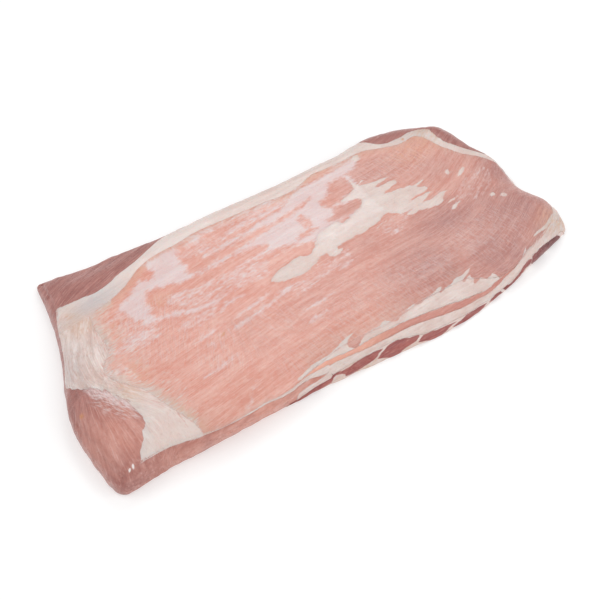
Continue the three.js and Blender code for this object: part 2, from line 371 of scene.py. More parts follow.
@dataclass(frozen=True)
class SlabForm:
    """The slab's outer form and its stack of sheets.

    Each corner of the plan is drawn in by its blunts over blunt_reach, and its upright edge
    is rounded by its corner_radii. crown is the height of the top's middle, side_belly how
    far the sides swell at half height, and beds are the ribs' shallow beds in the underside.
    seam is the gap between two sheets. A trimmed sheet has the relative thickness edge at its
    outline, is full from lip inwards, and is gone a fade outside it. It counts as trimmed at
    a side once it ends trimmed short of it, and as tapered in full at tapered. The roughness
    of a side dies away over wall_depth.
    """

    sheets: tuple[SheetForm, ...]
    sides: dict[Side, SideForm]
    swells: tuple[Swell, ...]
    near_left: Range = (-5, -6)
    near_right: Range = (564, 7)
    far_right: Range = (551, 208)
    far_left: Range = (45, 266)
    corners: tuple[tuple[int, int], ...] = ((0, 0), (1, 0), (1, 1), (0, 1))
    blunt_reach: float = 26.0
    blunts: Floats = (1.0, 1.0, 1.0, 0.5)
    corner_radii: Floats = (11.0, 5.0, 12.0, 4.0)
    crown: float = 34.0
    side_belly: float = 1.8
    foot_radius: float = 2.0
    beds: Floats = (257, 330, 377, 437, 482)
    bed_half_width: float = 15.0
    bed_depth: float = 2.0
    seam: float = 0.02
    edge: float = 0.3
    lip: float = 9.0
    fade: float = 7.0
    trimmed: float = 3.0
    tapered: float = 12.0
    trim_radius: float = 14.0
    trim_power: float = 2.5
    wall_depth: float = 5.0

    @property
    def length(self) -> float:
        """Length of the near side between its corners."""
        return math.dist(self.near_left, self.near_right)

    @property
    def width(self) -> float:
        """Width of the left side between its corners."""
        return math.dist(self.near_left, self.far_left)

    def sides_at(self, s: Array, t: Array) -> dict[Side, Pair]:
        """The share along each side and the distance from it.

        Args:
            s, t: shares along and across the slab.

        Returns:
            For each side, the share along it and the millimetres from it.
        """
        return {
            Side.NEAR: (s, t * self.width),
            Side.FAR: (s, (1 - t) * self.width),
            Side.LEFT: (t, s * self.length),
            Side.RIGHT: (t, (1 - s) * self.length),
        }

    def corner_gaps(self, right: int, far: int, s: Array, t: Array) -> Pair:
        """Distances from a corner along the slab and across it."""
        return (1 - s if right else s) * self.length, (1 - t if far else t) * self.width

    def stand_out(self, side: Side, u: Array, q: Array) -> Array:
        """How far a side stands out of the straight line between its corners.

        It is the bulge, plus the flare's share below the rim, plus a parabola that reaches
        the side's belly at half height.

        Args:
            side: the side.
            u: share along it.
            q: relative height.

        Returns:
            Millimetres outwards.
        """
        form = self.sides[side]
        foot = 1 - q
        belly = self.side_belly * 4 * q * foot
        return through(form.bulge, u) + through(form.flare, u) * foot + belly

    def plan(self, s: Array, t: Array, q: Array) -> Pair:
        """Plan point: a patch between the four sides, each standing out by its own curve.

        Args:
            s, t: shares along and across the slab.
            q: relative height.

        Returns:
            The plan x and y.
        """
        ends = zip(self.near_left, self.near_right, self.far_left, self.far_right)
        x, y = (mix(mix(a, b, s), mix(c, d, s), t) for a, b, c, d in ends)
        y = y + self.stand_out(Side.FAR, s, q) * t - self.stand_out(Side.NEAR, s, q) * (1 - t)
        x = x + self.stand_out(Side.RIGHT, t, q) * s - self.stand_out(Side.LEFT, t, q) * (1 - s)
        for (right, far), depth in zip(self.corners, self.blunts):
            gaps = self.corner_gaps(right, far, s, t)
            along, across = (smoothstep(-gap, -self.blunt_reach, 0) for gap in gaps)
            x = x + depth * along * across * (-1 if right else 1)
            y = y + depth * along * across * (-1 if far else 1)
        return x, y

    def top_height(self, s: Array, t: Array) -> Array:
        """Height of the top: the crown and its swells, less the falls to the four sides.

        A fall is the rim's depth below the crown times the square of the closeness to the
        side. The four are joined as the cube root of the sum of their cubes.

        Args:
            s, t: shares along and across the slab.

        Returns:
            Millimetres above the table, without the fine relief.
        """
        falls = np.zeros_like(s)
        for side, (u, distance) in self.sides_at(s, t).items():
            form = self.sides[side]
            inward = np.clip(distance / through(form.slope, u), 0, 1)
            falls += ((self.crown - through(form.rim, u)) * (1 - inward) ** 2) ** 3
        x, y = self.plan(s, t, np.ones_like(s))
        swells = sum(swell.height * swell.place.weight(x, y) for swell in self.swells)
        return self.crown + swells - np.cbrt(falls)

    def base_height(self, s: Array, t: Array) -> Array:
        """Height of the underside: flat, but for a smooth rise over each of the ribs' beds.

        Args:
            s, t: shares along and across the slab.

        Returns:
            Millimetres above the table.
        """
        x, _ = self.plan(s, t, np.zeros_like(s))
        away = [np.abs(x - bed) for bed in self.beds]
        return sum(self.bed_depth * (1 - smoothstep(gap, 0, self.bed_half_width)) for gap in away)

    def inside_by(self, sheet: SheetForm, s: Array, t: Array) -> Array:
        """Distance inside a sheet's trimmed outline.

        The distances to the trimmed sides are joined by a power mean, so that the outline
        turns round where it goes from one side to the next.

        Args:
            sheet: the sheet.
            s, t: shares along and across the slab.

        Returns:
            Millimetres inside the outline, negative outside it.
        """
        total = np.zeros_like(s)
        for side, (u, distance) in self.sides_at(s, t).items():
            short = through(sheet.stops.get(side, FLUSH), u)
            reach = np.maximum(0, self.trim_radius - (distance - short))
            total += smoothstep(short, 0, self.trimmed) * reach**self.trim_power
        return self.trim_radius - total ** (1 / self.trim_power)

    def share(self, sheet: SheetForm, s: Array, t: Array, inside: Array) -> Array:
        """Relative thickness of a sheet: full inside, thin at a trimmed edge, then nothing.

        Args:
            sheet: the sheet.
            s, t: shares along and across the slab.
            inside: distance inside the sheet's outline.

        Returns:
            The relative thickness.
        """
        full = mix(through(sheet.near, s), through(sheet.far, s), t)
        thinned = smoothstep(inside, 0, self.lip)
        for side, (u, distance) in self.sides_at(s, t).items():
            short = through(sheet.stops.get(side, FLUSH), u)
            inward = smoothstep(distance - short, 0, sheet.taper)
            thinned = np.minimum(thinned, mix(1.0, inward, smoothstep(short, 0, self.tapered)))
        return mix(self.edge, full, thinned) * smoothstep(inside, -self.fade, 0)

    def stack(self, s: Array, t: Array, height: Array, insides: list[Array]) -> list[Pair]:
        """Relative heights of the lower and upper surface of every sheet.

        Args:
            s, t: shares along and across the slab.
            height: height of the slab there.
            insides: for each sheet, the distance inside its outline.

        Returns:
            For each sheet, from the top down, its lower and upper relative height.
        """
        shares = [self.share(one, s, t, inside) for one, inside in zip(self.sheets, insides)]
        gaps = [self.seam * smoothstep(inside, -self.fade, 0) for inside in insides]
        gaps[0] = np.zeros_like(s)
        scale = (height - sum(gaps)) / sum(shares)
        levels = []
        top = height
        for k, (one, gap) in enumerate(zip(shares, gaps)):
            upper = top - gap
            top = np.zeros_like(s) if k == len(shares) - 1 else upper - one * scale
            levels.append((top / height, upper / height))
        return levels


# ---- Grain, patches and relief ----


@dataclass(frozen=True)
class Surface:
    """Where the slab's fibres run, where fat and film lie on it, and its relief.

    The fibres climb by rise up to rise_ends, by right_turn beyond right_turn_at and by
    back_turn at the back, and fan out from fan_apex in the front muscle. The loose strands
    of the left fat follow a bent line between strand_ends. Rungs are fine ridges across the
    fibres. A field that ends in _rise gives the weights or the millimetres over which
    something comes in, and a ripple the size of a part of the relief.
    """

    form: SlabForm
    fat_patches: Patches
    film_patches: Patches
    windows: Patches
    rise: float = 0.13
    rise_ends: float = 270.0
    rise_bend: float = 30.0
    right_turn: float = 0.55
    right_turn_at: float = 470.0
    right_bend: float = 20.0
    back_turn: float = 0.22
    back_turn_at: float = 100.0
    back_from_y: Range = (194.0, 214.0)
    back_to_x: Range = (170.0, 240.0)
    fan_apex: Range = (22.0, 128.0)
    fan_radius: float = 70.0
    fan_rise: Range = (0.0, 0.2)
    front_muscle: Blob = Blob(14, 40, 62, 74)
    muscle_rise: Range = (0.05, 0.3)
    left_fat: Blob = Blob(30, 118, 52, 110, -8)
    left_fat_rise: Range = (0.1, 0.5)
    strands: Floats = (62, 46, 30, 22, 24, 34, 47, 52)
    strand_ends: Range = (30.0, 205.0)
    strands_fade_x: Range = (70.0, 110.0)
    strands_fade_y: Range = (176.0, 192.0)
    rung_places: Blobs = (
        Blob(108, 138, 66, 44), Blob(112, 100, 76, 34), Blob(232, 178, 40, 12), Blob(335, 22, 150, 50),
        Blob(228, 10, 90, 30), Blob(470, 30, 90, 60), Blob(180, 60, 110, 50), Blob(450, 170, 90, 40),
    )
    rung_rise: Range = (0.0, 0.7)
    rung_turns: Range = (58.0, 102.0)
    rungs_change: Range = (160.0, 205.0)
    front_rungs: Blob = Blob(36, 64, 48, 26, -56)
    front_edge: Range = (0.0, 0.15)
    front_rise: Range = (0.05, 0.6)
    fray_teeth: Ripples = (Ripple(11, 1.0, 16, 3.2), Ripple(12, 0.6, 9, 1.7, start=40))
    fray_least: float = 0.35
    fray_in_muscle: float = 2.2
    fray_fade: Range = (6.0, 13.0)
    fat_ends: Ripples = (Ripple(21, 0.9, 12, 2.6), Ripple(22, 0.5, 6, 1.6))
    film_ends: Ripples = (Ripple(31, 1.3, 20, 3.4), Ripple(32, 0.9, 8, 2.0))
    window_ends: float = 0.4
    waves: Ripples = (Ripple(41, 0.55, 42, 26), Ripple(42, 0.22, 17, 12))
    bundles: Ripples = (Ripple(43, 0.16, 60, 6), Ripple(44, 0.10, 26, 2.6))
    ridges: Ripple = Ripple(45, 0.16, 2.3, 15)
    fibres: Ripple = Ripple(46, 0.42, 34, 2.8)
    creases: Ripple = Ripple(47, 1.9, 9, 21, slant=-1 / 40)
    folds: Ripples = (
        Ripple(48, 0.7, 4, 10, slant=-1 / 30),
        Ripple(49, 0.35, 2.2, 16, slant=-1 / 24),
    )
    fat_height: float = 0.8
    fat_rise: Range = (-2.4, 2.6)
    film_height: float = 0.22
    film_rise: Range = (-1.0, 2.0)
    scallops: Ripples = (Ripple(50, 0.6, 17), Ripple(51, 0.3, 7))
    lumps: Ripples = (Ripple(52, 0.55, 11, 1 / 3.4), Ripple(53, 0.35, 4.5, 1 / 6))
    seeds_a_side: int = 5

    def fibres_at(self, x: Array, y: Array) -> Pair:
        """Plan coordinates that follow the fibres.

        Over most of the slab the fibres run along x and climb a little towards the far side
        up to the middle, and more at the back and near the right end. In the front muscle
        they fan out from a point, so there the radius and the angle round it take their
        place.

        Args:
            x, y: plan coordinates.

        Returns:
            Millimetres along the fibres and across them.
        """
        climbing = x - past(x, self.rise_ends, self.rise_bend)
        back = smoothstep(y, *self.back_from_y) * (1 - smoothstep(x, *self.back_to_x))
        across = y - self.rise * climbing
        across = across - self.back_turn * (x - self.back_turn_at) * back
        across = across - self.right_turn * past(x, self.right_turn_at, self.right_bend)
        dx, dy = x - self.fan_apex[0], self.fan_apex[1] - y
        fan_along, fan_across = np.hypot(dx, dy), np.arctan2(dx, dy) * self.fan_radius
        fan = smoothstep(self.front_muscle.weight(x, y), *self.fan_rise)
        return mix(x, fan_along, fan), mix(across, fan_across, fan)

    def grain(self, x: Array, y: Array, z: Array) -> Array:
        """Coordinates along the fibres, across them and through them, as three columns."""
        return np.stack([*self.fibres_at(x, y), z], axis=-1)

    def strand_grain(self, x: Array, y: Array, z: Array) -> Array:
        """The same for the fat, whose loose strands at the left run along y.

        Their coordinates are y, and the distance in x from a bent line.

        Args:
            x, y, z: plan coordinates and height.

        Returns:
            An array of three columns, in millimetres.
        """
        low, high = self.strand_ends
        middle = through(self.strands, (y - low) / (high - low))
        loose = (1 - smoothstep(x, *self.strands_fade_x)) * (1 - smoothstep(y, *self.strands_fade_y))
        return mix(self.grain(x, y, z), np.stack([y, x - middle, z], axis=-1), loose[:, None])

    def rungs(self, x: Array, y: Array) -> tuple[Array, Array, Array]:
        """Fine ridges that cross the fibres: two coordinates and how strong they are.

        Both coordinates are the plan's, turned one way at the left, another at the right and
        a third over the front muscle.

        Args:
            x, y: plan coordinates.

        Returns:
            The coordinate from ridge to ridge, the one along a ridge, and the strength.
        """
        (along, step), (right_along, right_step) = (turned(x, y, turn) for turn in self.rung_turns)
        right = smoothstep(x, *self.rungs_change)
        step, along = -mix(step, right_step, right), mix(along, right_along, right)
        front = self.front_rungs.weight(x, y)
        edge = smoothstep(front, *self.front_edge)
        front_along, front_step = turned(x, y, self.front_rungs.turn)
        strength = smoothstep(weights(self.rung_places, x, y), *self.rung_rise) * (1 - edge)
        strength = np.maximum(strength, smoothstep(front, *self.front_rise))
        return mix(step, front_step, edge), mix(along, front_along, edge), strength

    def fray(self, x: Array, y: Array, amount: float) -> Array:
        """Raggedness of a trimmed outline: noise drawn out along the fibres."""
        ragged = self.fray_least + self.fray_in_muscle * self.front_muscle.weight(x, y)
        return amount * ragged * ripples(self.fray_teeth, *self.fibres_at(x, y))

    def insides(self, s: Array, t: Array) -> list[Array]:
        """For every sheet, the distance inside its outline, frayed near the outline.

        Args:
            s, t: shares along and across the slab.

        Returns:
            Millimetres for each sheet, negative outside.
        """
        x, y = self.form.plan(s, t, np.ones_like(s))
        found = []
        for sheet in self.form.sheets:
            smooth = self.form.inside_by(sheet, s, t)
            trimmed = 1 - smoothstep(smooth, *self.fray_fade)
            found.append(smooth + self.fray(x, y, sheet.fray) * trimmed)
        return found

    def fat_on_top(self, x: Array, y: Array) -> Array:
        """How far inside a fat patch of the top a plan point lies, with ragged ends."""
        return inside_any(self.fat_patches, x, y) + ripples(self.fat_ends, *self.fibres_at(x, y))

    def film_on_top(self, x: Array, y: Array) -> Array:
        """How far inside a film patch of the top a plan point lies, with streaky ends.

        It is the lesser of how far it lies inside the patches and outside the windows.

        Args:
            x, y: plan coordinates.

        Returns:
            Millimetres, negative outside.
        """
        streaks = ripples(self.film_ends, *self.fibres_at(x, y))
        patches = inside_any(self.film_patches, x, y) + streaks
        return np.minimum(patches, self.window_ends * streaks - inside_any(self.windows, x, y))

    def top_relief(self, x: Array, y: Array) -> Array:
        """Height of the top's relief.

        Slow waves, fibre bundles along the grain, ridges across it, muscle fibres that fan
        out, creases and folds of the loose fat at the left, and the thickness of the fat and
        film.

        Args:
            x, y: plan coordinates.

        Returns:
            Millimetres above the plain top.
        """
        along, across = self.fibres_at(x, y)
        step, rung_along, strength = self.rungs(x, y)
        muscle = smoothstep(self.front_muscle.weight(x, y), *self.muscle_rise)
        folded = smoothstep(self.left_fat.weight(x, y), *self.left_fat_rise)
        creases = self.creases.height / 2 - np.abs(self.creases.at(x, y))
        return (
            ripples(self.waves, x, y)
            + ripples(self.bundles, along, across)
            + strength * self.ridges.at(step, rung_along)
            + muscle * self.fibres.at(along, across)
            + folded * (creases + ripples(self.folds, x, y))
            + self.fat_height * smoothstep(self.fat_on_top(x, y), *self.fat_rise)
            + self.film_height * smoothstep(self.film_on_top(x, y), *self.film_rise)
        )

    def wall_relief(self, side: Side, u: Array, q: Array) -> Array:
        """How far a cut side's crags stand out: slow scallops, and lumps that vary with height.

        Args:
            side: the side.
            u: share along it.
            q: relative height.

        Returns:
            Millimetres outwards.
        """
        run = u * (self.form.length if side.is_long else self.form.width)
        later = self.seeds_a_side * list(Side).index(side)
        crags = ripples(self.scallops, run, run * 0, later) + ripples(self.lumps, run, q, later)
        return self.form.sides[side].crags * crags


# ---- Meshes ----


@dataclass
class Place:
    """Vertices of the sheet at index in the stack, as whole arrays.

    Each has its shares and its level within the sheet, its point, the sheet's thickness
    there, and the distance inside every sheet's outline.
    """

    index: int
    s: Array
    t: Array
    level: Array
    x: Array
    y: Array
    z: Array
    thickness: Array
    insides: list[Array]

    def trimmed(self, triangles: Array) -> Array:
        """Which triangles stand at a trimmed outline, off the slab's own sides.

        Args:
            triangles: triangles of the vertices.

        Returns:
            True for each such triangle.
        """
        upright = np.ptp(self.level[triangles], axis=1) > 0
        inner = (self.s > 0) & (self.s < 1) & (self.t > 0) & (self.t < 1)
        return upright & inner[triangles].any(axis=1)


@dataclass
class SheetMesher:
    """Builds a sheet's closed mesh on the grid that all sheets share.

    Cells that show are split finely. Blocks of block cells each way that other sheets cover,
    and lie hidden_by inside their outlines, become fans of a few triangles, whose outer edges
    are split where the next block is fine. shift brings the slab's plan into the frame.
    """

    surface: Surface
    shift: Range = (0.0, 0.0)
    along: int = 448
    across: int = 216
    block: int = 4
    crowding: float = 0.2
    near_cut: float = 0.1
    hidden_by: float = 2.5
    s: Array = field(init=False)
    t: Array = field(init=False)
    insides: list[Array] = field(init=False)

    def __post_init__(self) -> None:
        """Lay out the shared grid and measure every sheet's outline on it."""
        t, s = np.meshgrid(self.crowded(self.across), self.crowded(self.along), indexing="ij")
        self.s, self.t = s.ravel(), t.ravel()
        self.insides = self.surface.insides(self.s, self.t)

    def crowded(self, n: int) -> Array:
        """Shares from 0 to 1 in n steps that crowd together towards both ends."""
        i = np.arange(n + 1) / n
        return i - self.crowding * np.sin(2 * np.pi * i) / (2 * np.pi)

    def held(self, inside: Array) -> Array:
        """Which grid points lie inside an outline, as rows across by columns along."""
        return (inside >= 0).reshape(self.across + 1, self.along + 1)

    def cells(self, mask: Array) -> Array:
        """Two triangles for each marked cell of the grid.

        Args:
            mask: which cells, as an array of rows across by columns along.

        Returns:
            Triangles of grid points, counter-clockwise from above.
        """
        row = self.along + 1
        j, i = np.nonzero(mask)
        a = j * row + i
        b, c, d = a + 1, a + row + 1, a + row
        return np.concatenate([np.stack([a, b, c], 1), np.stack([a, c, d], 1)])

    def fans(self, coarse: Array) -> Array:
        """Fans round the middle of each coarse block, with edges that match its neighbours.

        Args:
            coarse: which blocks are coarse.

        Returns:
            Triangles of grid points, counter-clockwise from above.
        """
        row, n = self.along + 1, self.block
        j, i = np.nonzero(coarse)
        corner = j * n * row + i * n
        middle = corner + (n // 2) * (row + 1)
        ringed = np.pad(coarse, 1)
        below, right_of = ((-1, 0), 0, 1), ((0, 1), n, row)
        above, left_of = ((1, 0), n * row + n, -1), ((0, -1), n * row, -row)
        found = []
        for (down, right), start, step in (below, right_of, above, left_of):
            joined = ringed[j + 1 + down, i + 1 + right]
            first, centre = corner[joined] + start, middle[joined]
            found.append(np.stack([centre, first, first + n * step], 1))
            for k in range(n):
                first, centre = corner[~joined] + start + k * step, middle[~joined]
                found.append(np.stack([centre, first, first + step], 1))
        return np.concatenate(found)

    def clip(self, triangles: Array, inside: Array) -> tuple[Array, Array, Array]:
        """Keep the part of each triangle inside the outline.

        A triangle with one corner inside keeps a triangle, one with two corners inside a
        quadrilateral. The crossing on an edge lies where the distance, taken as straight
        along it, passes zero.

        Args:
            triangles: triangles of grid points, some of them crossed by the outline.
            inside: distance inside the outline at the grid points.

        Returns:
            The kept triangles, the grid points at both ends of every crossed edge, and the
            share along it of the crossing. Crossing n is point len(inside) + n.
        """
        held = inside[triangles] >= 0
        count = held.sum(1)
        odd = np.where(count == 1, held.argmax(1), (~held).argmax(1))
        turned = np.take_along_axis(triangles, (odd[:, None] + np.arange(3)) % 3, 1)
        whole, one, two = (turned[count == n] for n in (3, 1, 2))
        pairs = np.concatenate([one[:, [0, 1]], one[:, [0, 2]], two[:, [0, 1]], two[:, [0, 2]]])
        pairs = np.sort(pairs, 1)
        ends, which = np.unique(pairs, axis=0, return_inverse=True)
        which = which.ravel() + len(inside)
        one_b, one_c, two_b, two_c = np.split(which, np.cumsum([len(one), len(one), len(two)]))
        kept = [
            whole,
            np.stack([one[:, 0], one_b, one_c], 1),
            np.stack([two_b, two[:, 1], two[:, 2]], 1),
            np.stack([two_b, two[:, 2], two_c], 1),
        ]
        low, high = inside[ends[:, 0]], inside[ends[:, 1]]
        share = np.clip(low / (low - high), self.near_cut, 1 - self.near_cut)
        return np.concatenate(kept), ends, share

    def open_edges(self, triangles: Array, points: int) -> Array:
        """Directed edges of triangles that no other triangle runs the other way.

        Args:
            triangles: triangles of points.
            points: how many points there are.

        Returns:
            The edges, as pairs of points.
        """
        edges = np.concatenate([triangles[:, [0, 1]], triangles[:, [1, 2]], triangles[:, [2, 0]]])
        keys = edges[:, 0] * points + edges[:, 1]
        back = edges[:, 1] * points + edges[:, 0]
        return edges[~np.isin(keys, back)]

    def blocks(self, inside: Array) -> Pair:
        """Blocks that lie wholly inside an outline, and blocks that it crosses.

        Args:
            inside: distance inside the outline at the grid points.

        Returns:
            The two masks, as arrays of block rows by block columns.
        """
        n = self.block
        held = self.held(inside)
        rows, columns = self.across // n, self.along // n
        counts = np.zeros((rows, columns), int)
        for j in range(n + 1):
            for i in range(n + 1):
                counts += held[j : j + rows * n : n, i : i + columns * n : n]
        return counts == (n + 1) ** 2, (counts > 0) & (counts < (n + 1) ** 2)

    def surfaces(self, index: int) -> tuple[Array, Array, Array, Array]:
        """Triangles of a sheet's upper and lower surface.

        Args:
            index: the sheet's place in the stack.

        Returns:
            The upper triangles, the lower triangles facing up as well, and the ends and
            shares of the crossed edges.
        """
        inside = self.insides[index]
        whole, crossed = self.blocks(inside)
        cover = np.full_like(inside, -1.0)
        for upper in self.insides[:index]:
            cover = np.maximum(cover, upper - self.hidden_by)
        hidden, _ = self.blocks(cover)
        held = self.held(inside)
        touched = held[:-1, :-1] | held[:-1, 1:] | held[1:, :-1] | held[1:, 1:]
        spread = np.ones((self.block, self.block), bool)
        edge_cells = self.cells(touched & np.kron(crossed, spread))
        clipped, ends, shares = self.clip(edge_cells[np.any(inside[edge_cells] >= 0, 1)], inside)
        shown = self.cells(np.kron(whole & ~hidden, spread))
        upper = np.concatenate([shown, self.fans(whole & hidden), clipped])
        lower = np.concatenate([self.fans(whole), clipped])
        return upper, lower, ends, shares

    def points(self, s: Array, t: Array, q: Array) -> tuple[Array, Array, Array]:
        """Points of the slab, with its relief and its rounded rim and foot.

        The edge between each side and the top, the one between it and the foot, and the
        upright corners between two sides are each turned into a quarter round.

        Args:
            s, t: shares along and across the slab.
            q: relative height.

        Returns:
            Plan x, plan y and height, in millimetres.
        """
        form = self.surface.form
        plan_x, plan_y = form.plan(s, t, np.ones_like(s))
        base = form.base_height(s, t)
        top = form.top_height(s, t) + self.surface.top_relief(plan_x, plan_y)
        z = mix(base, top, q)
        depth, rise = top - z, z - base
        for side, (u, distance) in form.sides_at(s, t).items():
            rim = through(form.sides[side].edge, u)
            for radius, gap, sign in ((rim, depth, -1), (form.foot_radius, rise, 1)):
                inward, lift = rounded(distance, gap, radius)
                z = z + sign * lift
                s, t = side.push(s, t, -inward / (form.width if side.is_long else form.length))
        for (right, far), radius in zip(form.corners, form.corner_radii):
            inward, further = rounded(*form.corner_gaps(right, far, s, t), radius)
            s = s + inward / form.length * (-1 if right else 1)
            t = t + further / form.width * (-1 if far else 1)
        x, y = form.plan(s, t, q)
        for side, (u, distance) in form.sides_at(s, t).items():
            out = self.surface.wall_relief(side, u, q) * np.exp(-distance / form.wall_depth)
            x, y = side.push(x, y, out)
        return x, y, z

    def place(self, index: int, s: Array, t: Array, level: Array) -> Place:
        """Put vertices of a sheet where they belong.

        A cut side swells between the sheet's borders by the square of a parabola of the
        level, times the sheet's belly.

        Args:
            index: the sheet's place in the stack.
            s, t: shares along and across the slab.
            level: relative height within the sheet.

        Returns:
            The vertices with everything that is known about them.
        """
        form = self.surface.form
        insides = self.surface.insides(s, t)
        height = form.top_height(s, t) - form.base_height(s, t)
        lower, upper = form.stack(s, t, height, insides)[index]
        x, y, z = self.points(s, t, mix(lower, upper, level))
        swell = form.sheets[index].belly * (4 * level * (1 - level)) ** 2
        for side, (_, distance) in form.sides_at(s, t).items():
            x, y = side.push(x, y, swell * np.exp(-distance / form.wall_depth))
        return Place(index, s, t, level, x, y, z, (upper - lower) * height, insides)

    def build(self, index: int) -> tuple[Place, Array]:
        """The closed mesh of one sheet.

        Args:
            index: the sheet's place in the stack.

        Returns:
            Its vertices and its triangles.
        """
        rows = self.surface.form.sheets[index].rows
        upper, lower, ends, shares = self.surfaces(index)
        s = np.concatenate([self.s, mix(self.s[ends[:, 0]], self.s[ends[:, 1]], shares)])
        t = np.concatenate([self.t, mix(self.t[ends[:, 0]], self.t[ends[:, 1]], shares)])
        points = len(s)
        rim = self.open_edges(upper, points)
        faces = [upper + rows * points, lower[:, ::-1]]
        for row in range(rows):
            here, above = rim + row * points, rim + (row + 1) * points
            faces.append(np.stack([here[:, 0], here[:, 1], above[:, 1]], 1))
            faces.append(np.stack([here[:, 0], above[:, 1], above[:, 0]], 1))
        used, triangles = np.unique(np.concatenate(faces), return_inverse=True)
        row_of, point_of = np.divmod(used, points)
        placed = self.place(index, s[point_of], t[point_of], row_of / rows)
        return placed, triangles.reshape(-1, 3)


# ---- What the finishes read from a sheet ----


@dataclass(frozen=True)
class Sight:
    """A fixed place to look at the near side from, above it and in front of it.

    Marks on that leaning side are drawn on a level plane, where the sight lines through them
    meet it, so that the rim, the side and the foot lie side by side.
    """

    eye: Point = (-134.6, -470.2, 822.4)
    plane: float = 20.0

    def lay_out(self, x: Array, y: Array, z: Array) -> Pair:
        """Where the sight lines through points meet the plane.

        A line's horizontal run is stretched by the eye's height over the plane, divided by
        its height over the point.

        Args:
            x, y, z: the points.

        Returns:
            The x and y on the plane.
        """
        stretch = (self.eye[2] - self.plane) / (self.eye[2] - z)
        return self.eye[0] + (x - self.eye[0]) * stretch, self.eye[1] + (y - self.eye[1]) * stretch


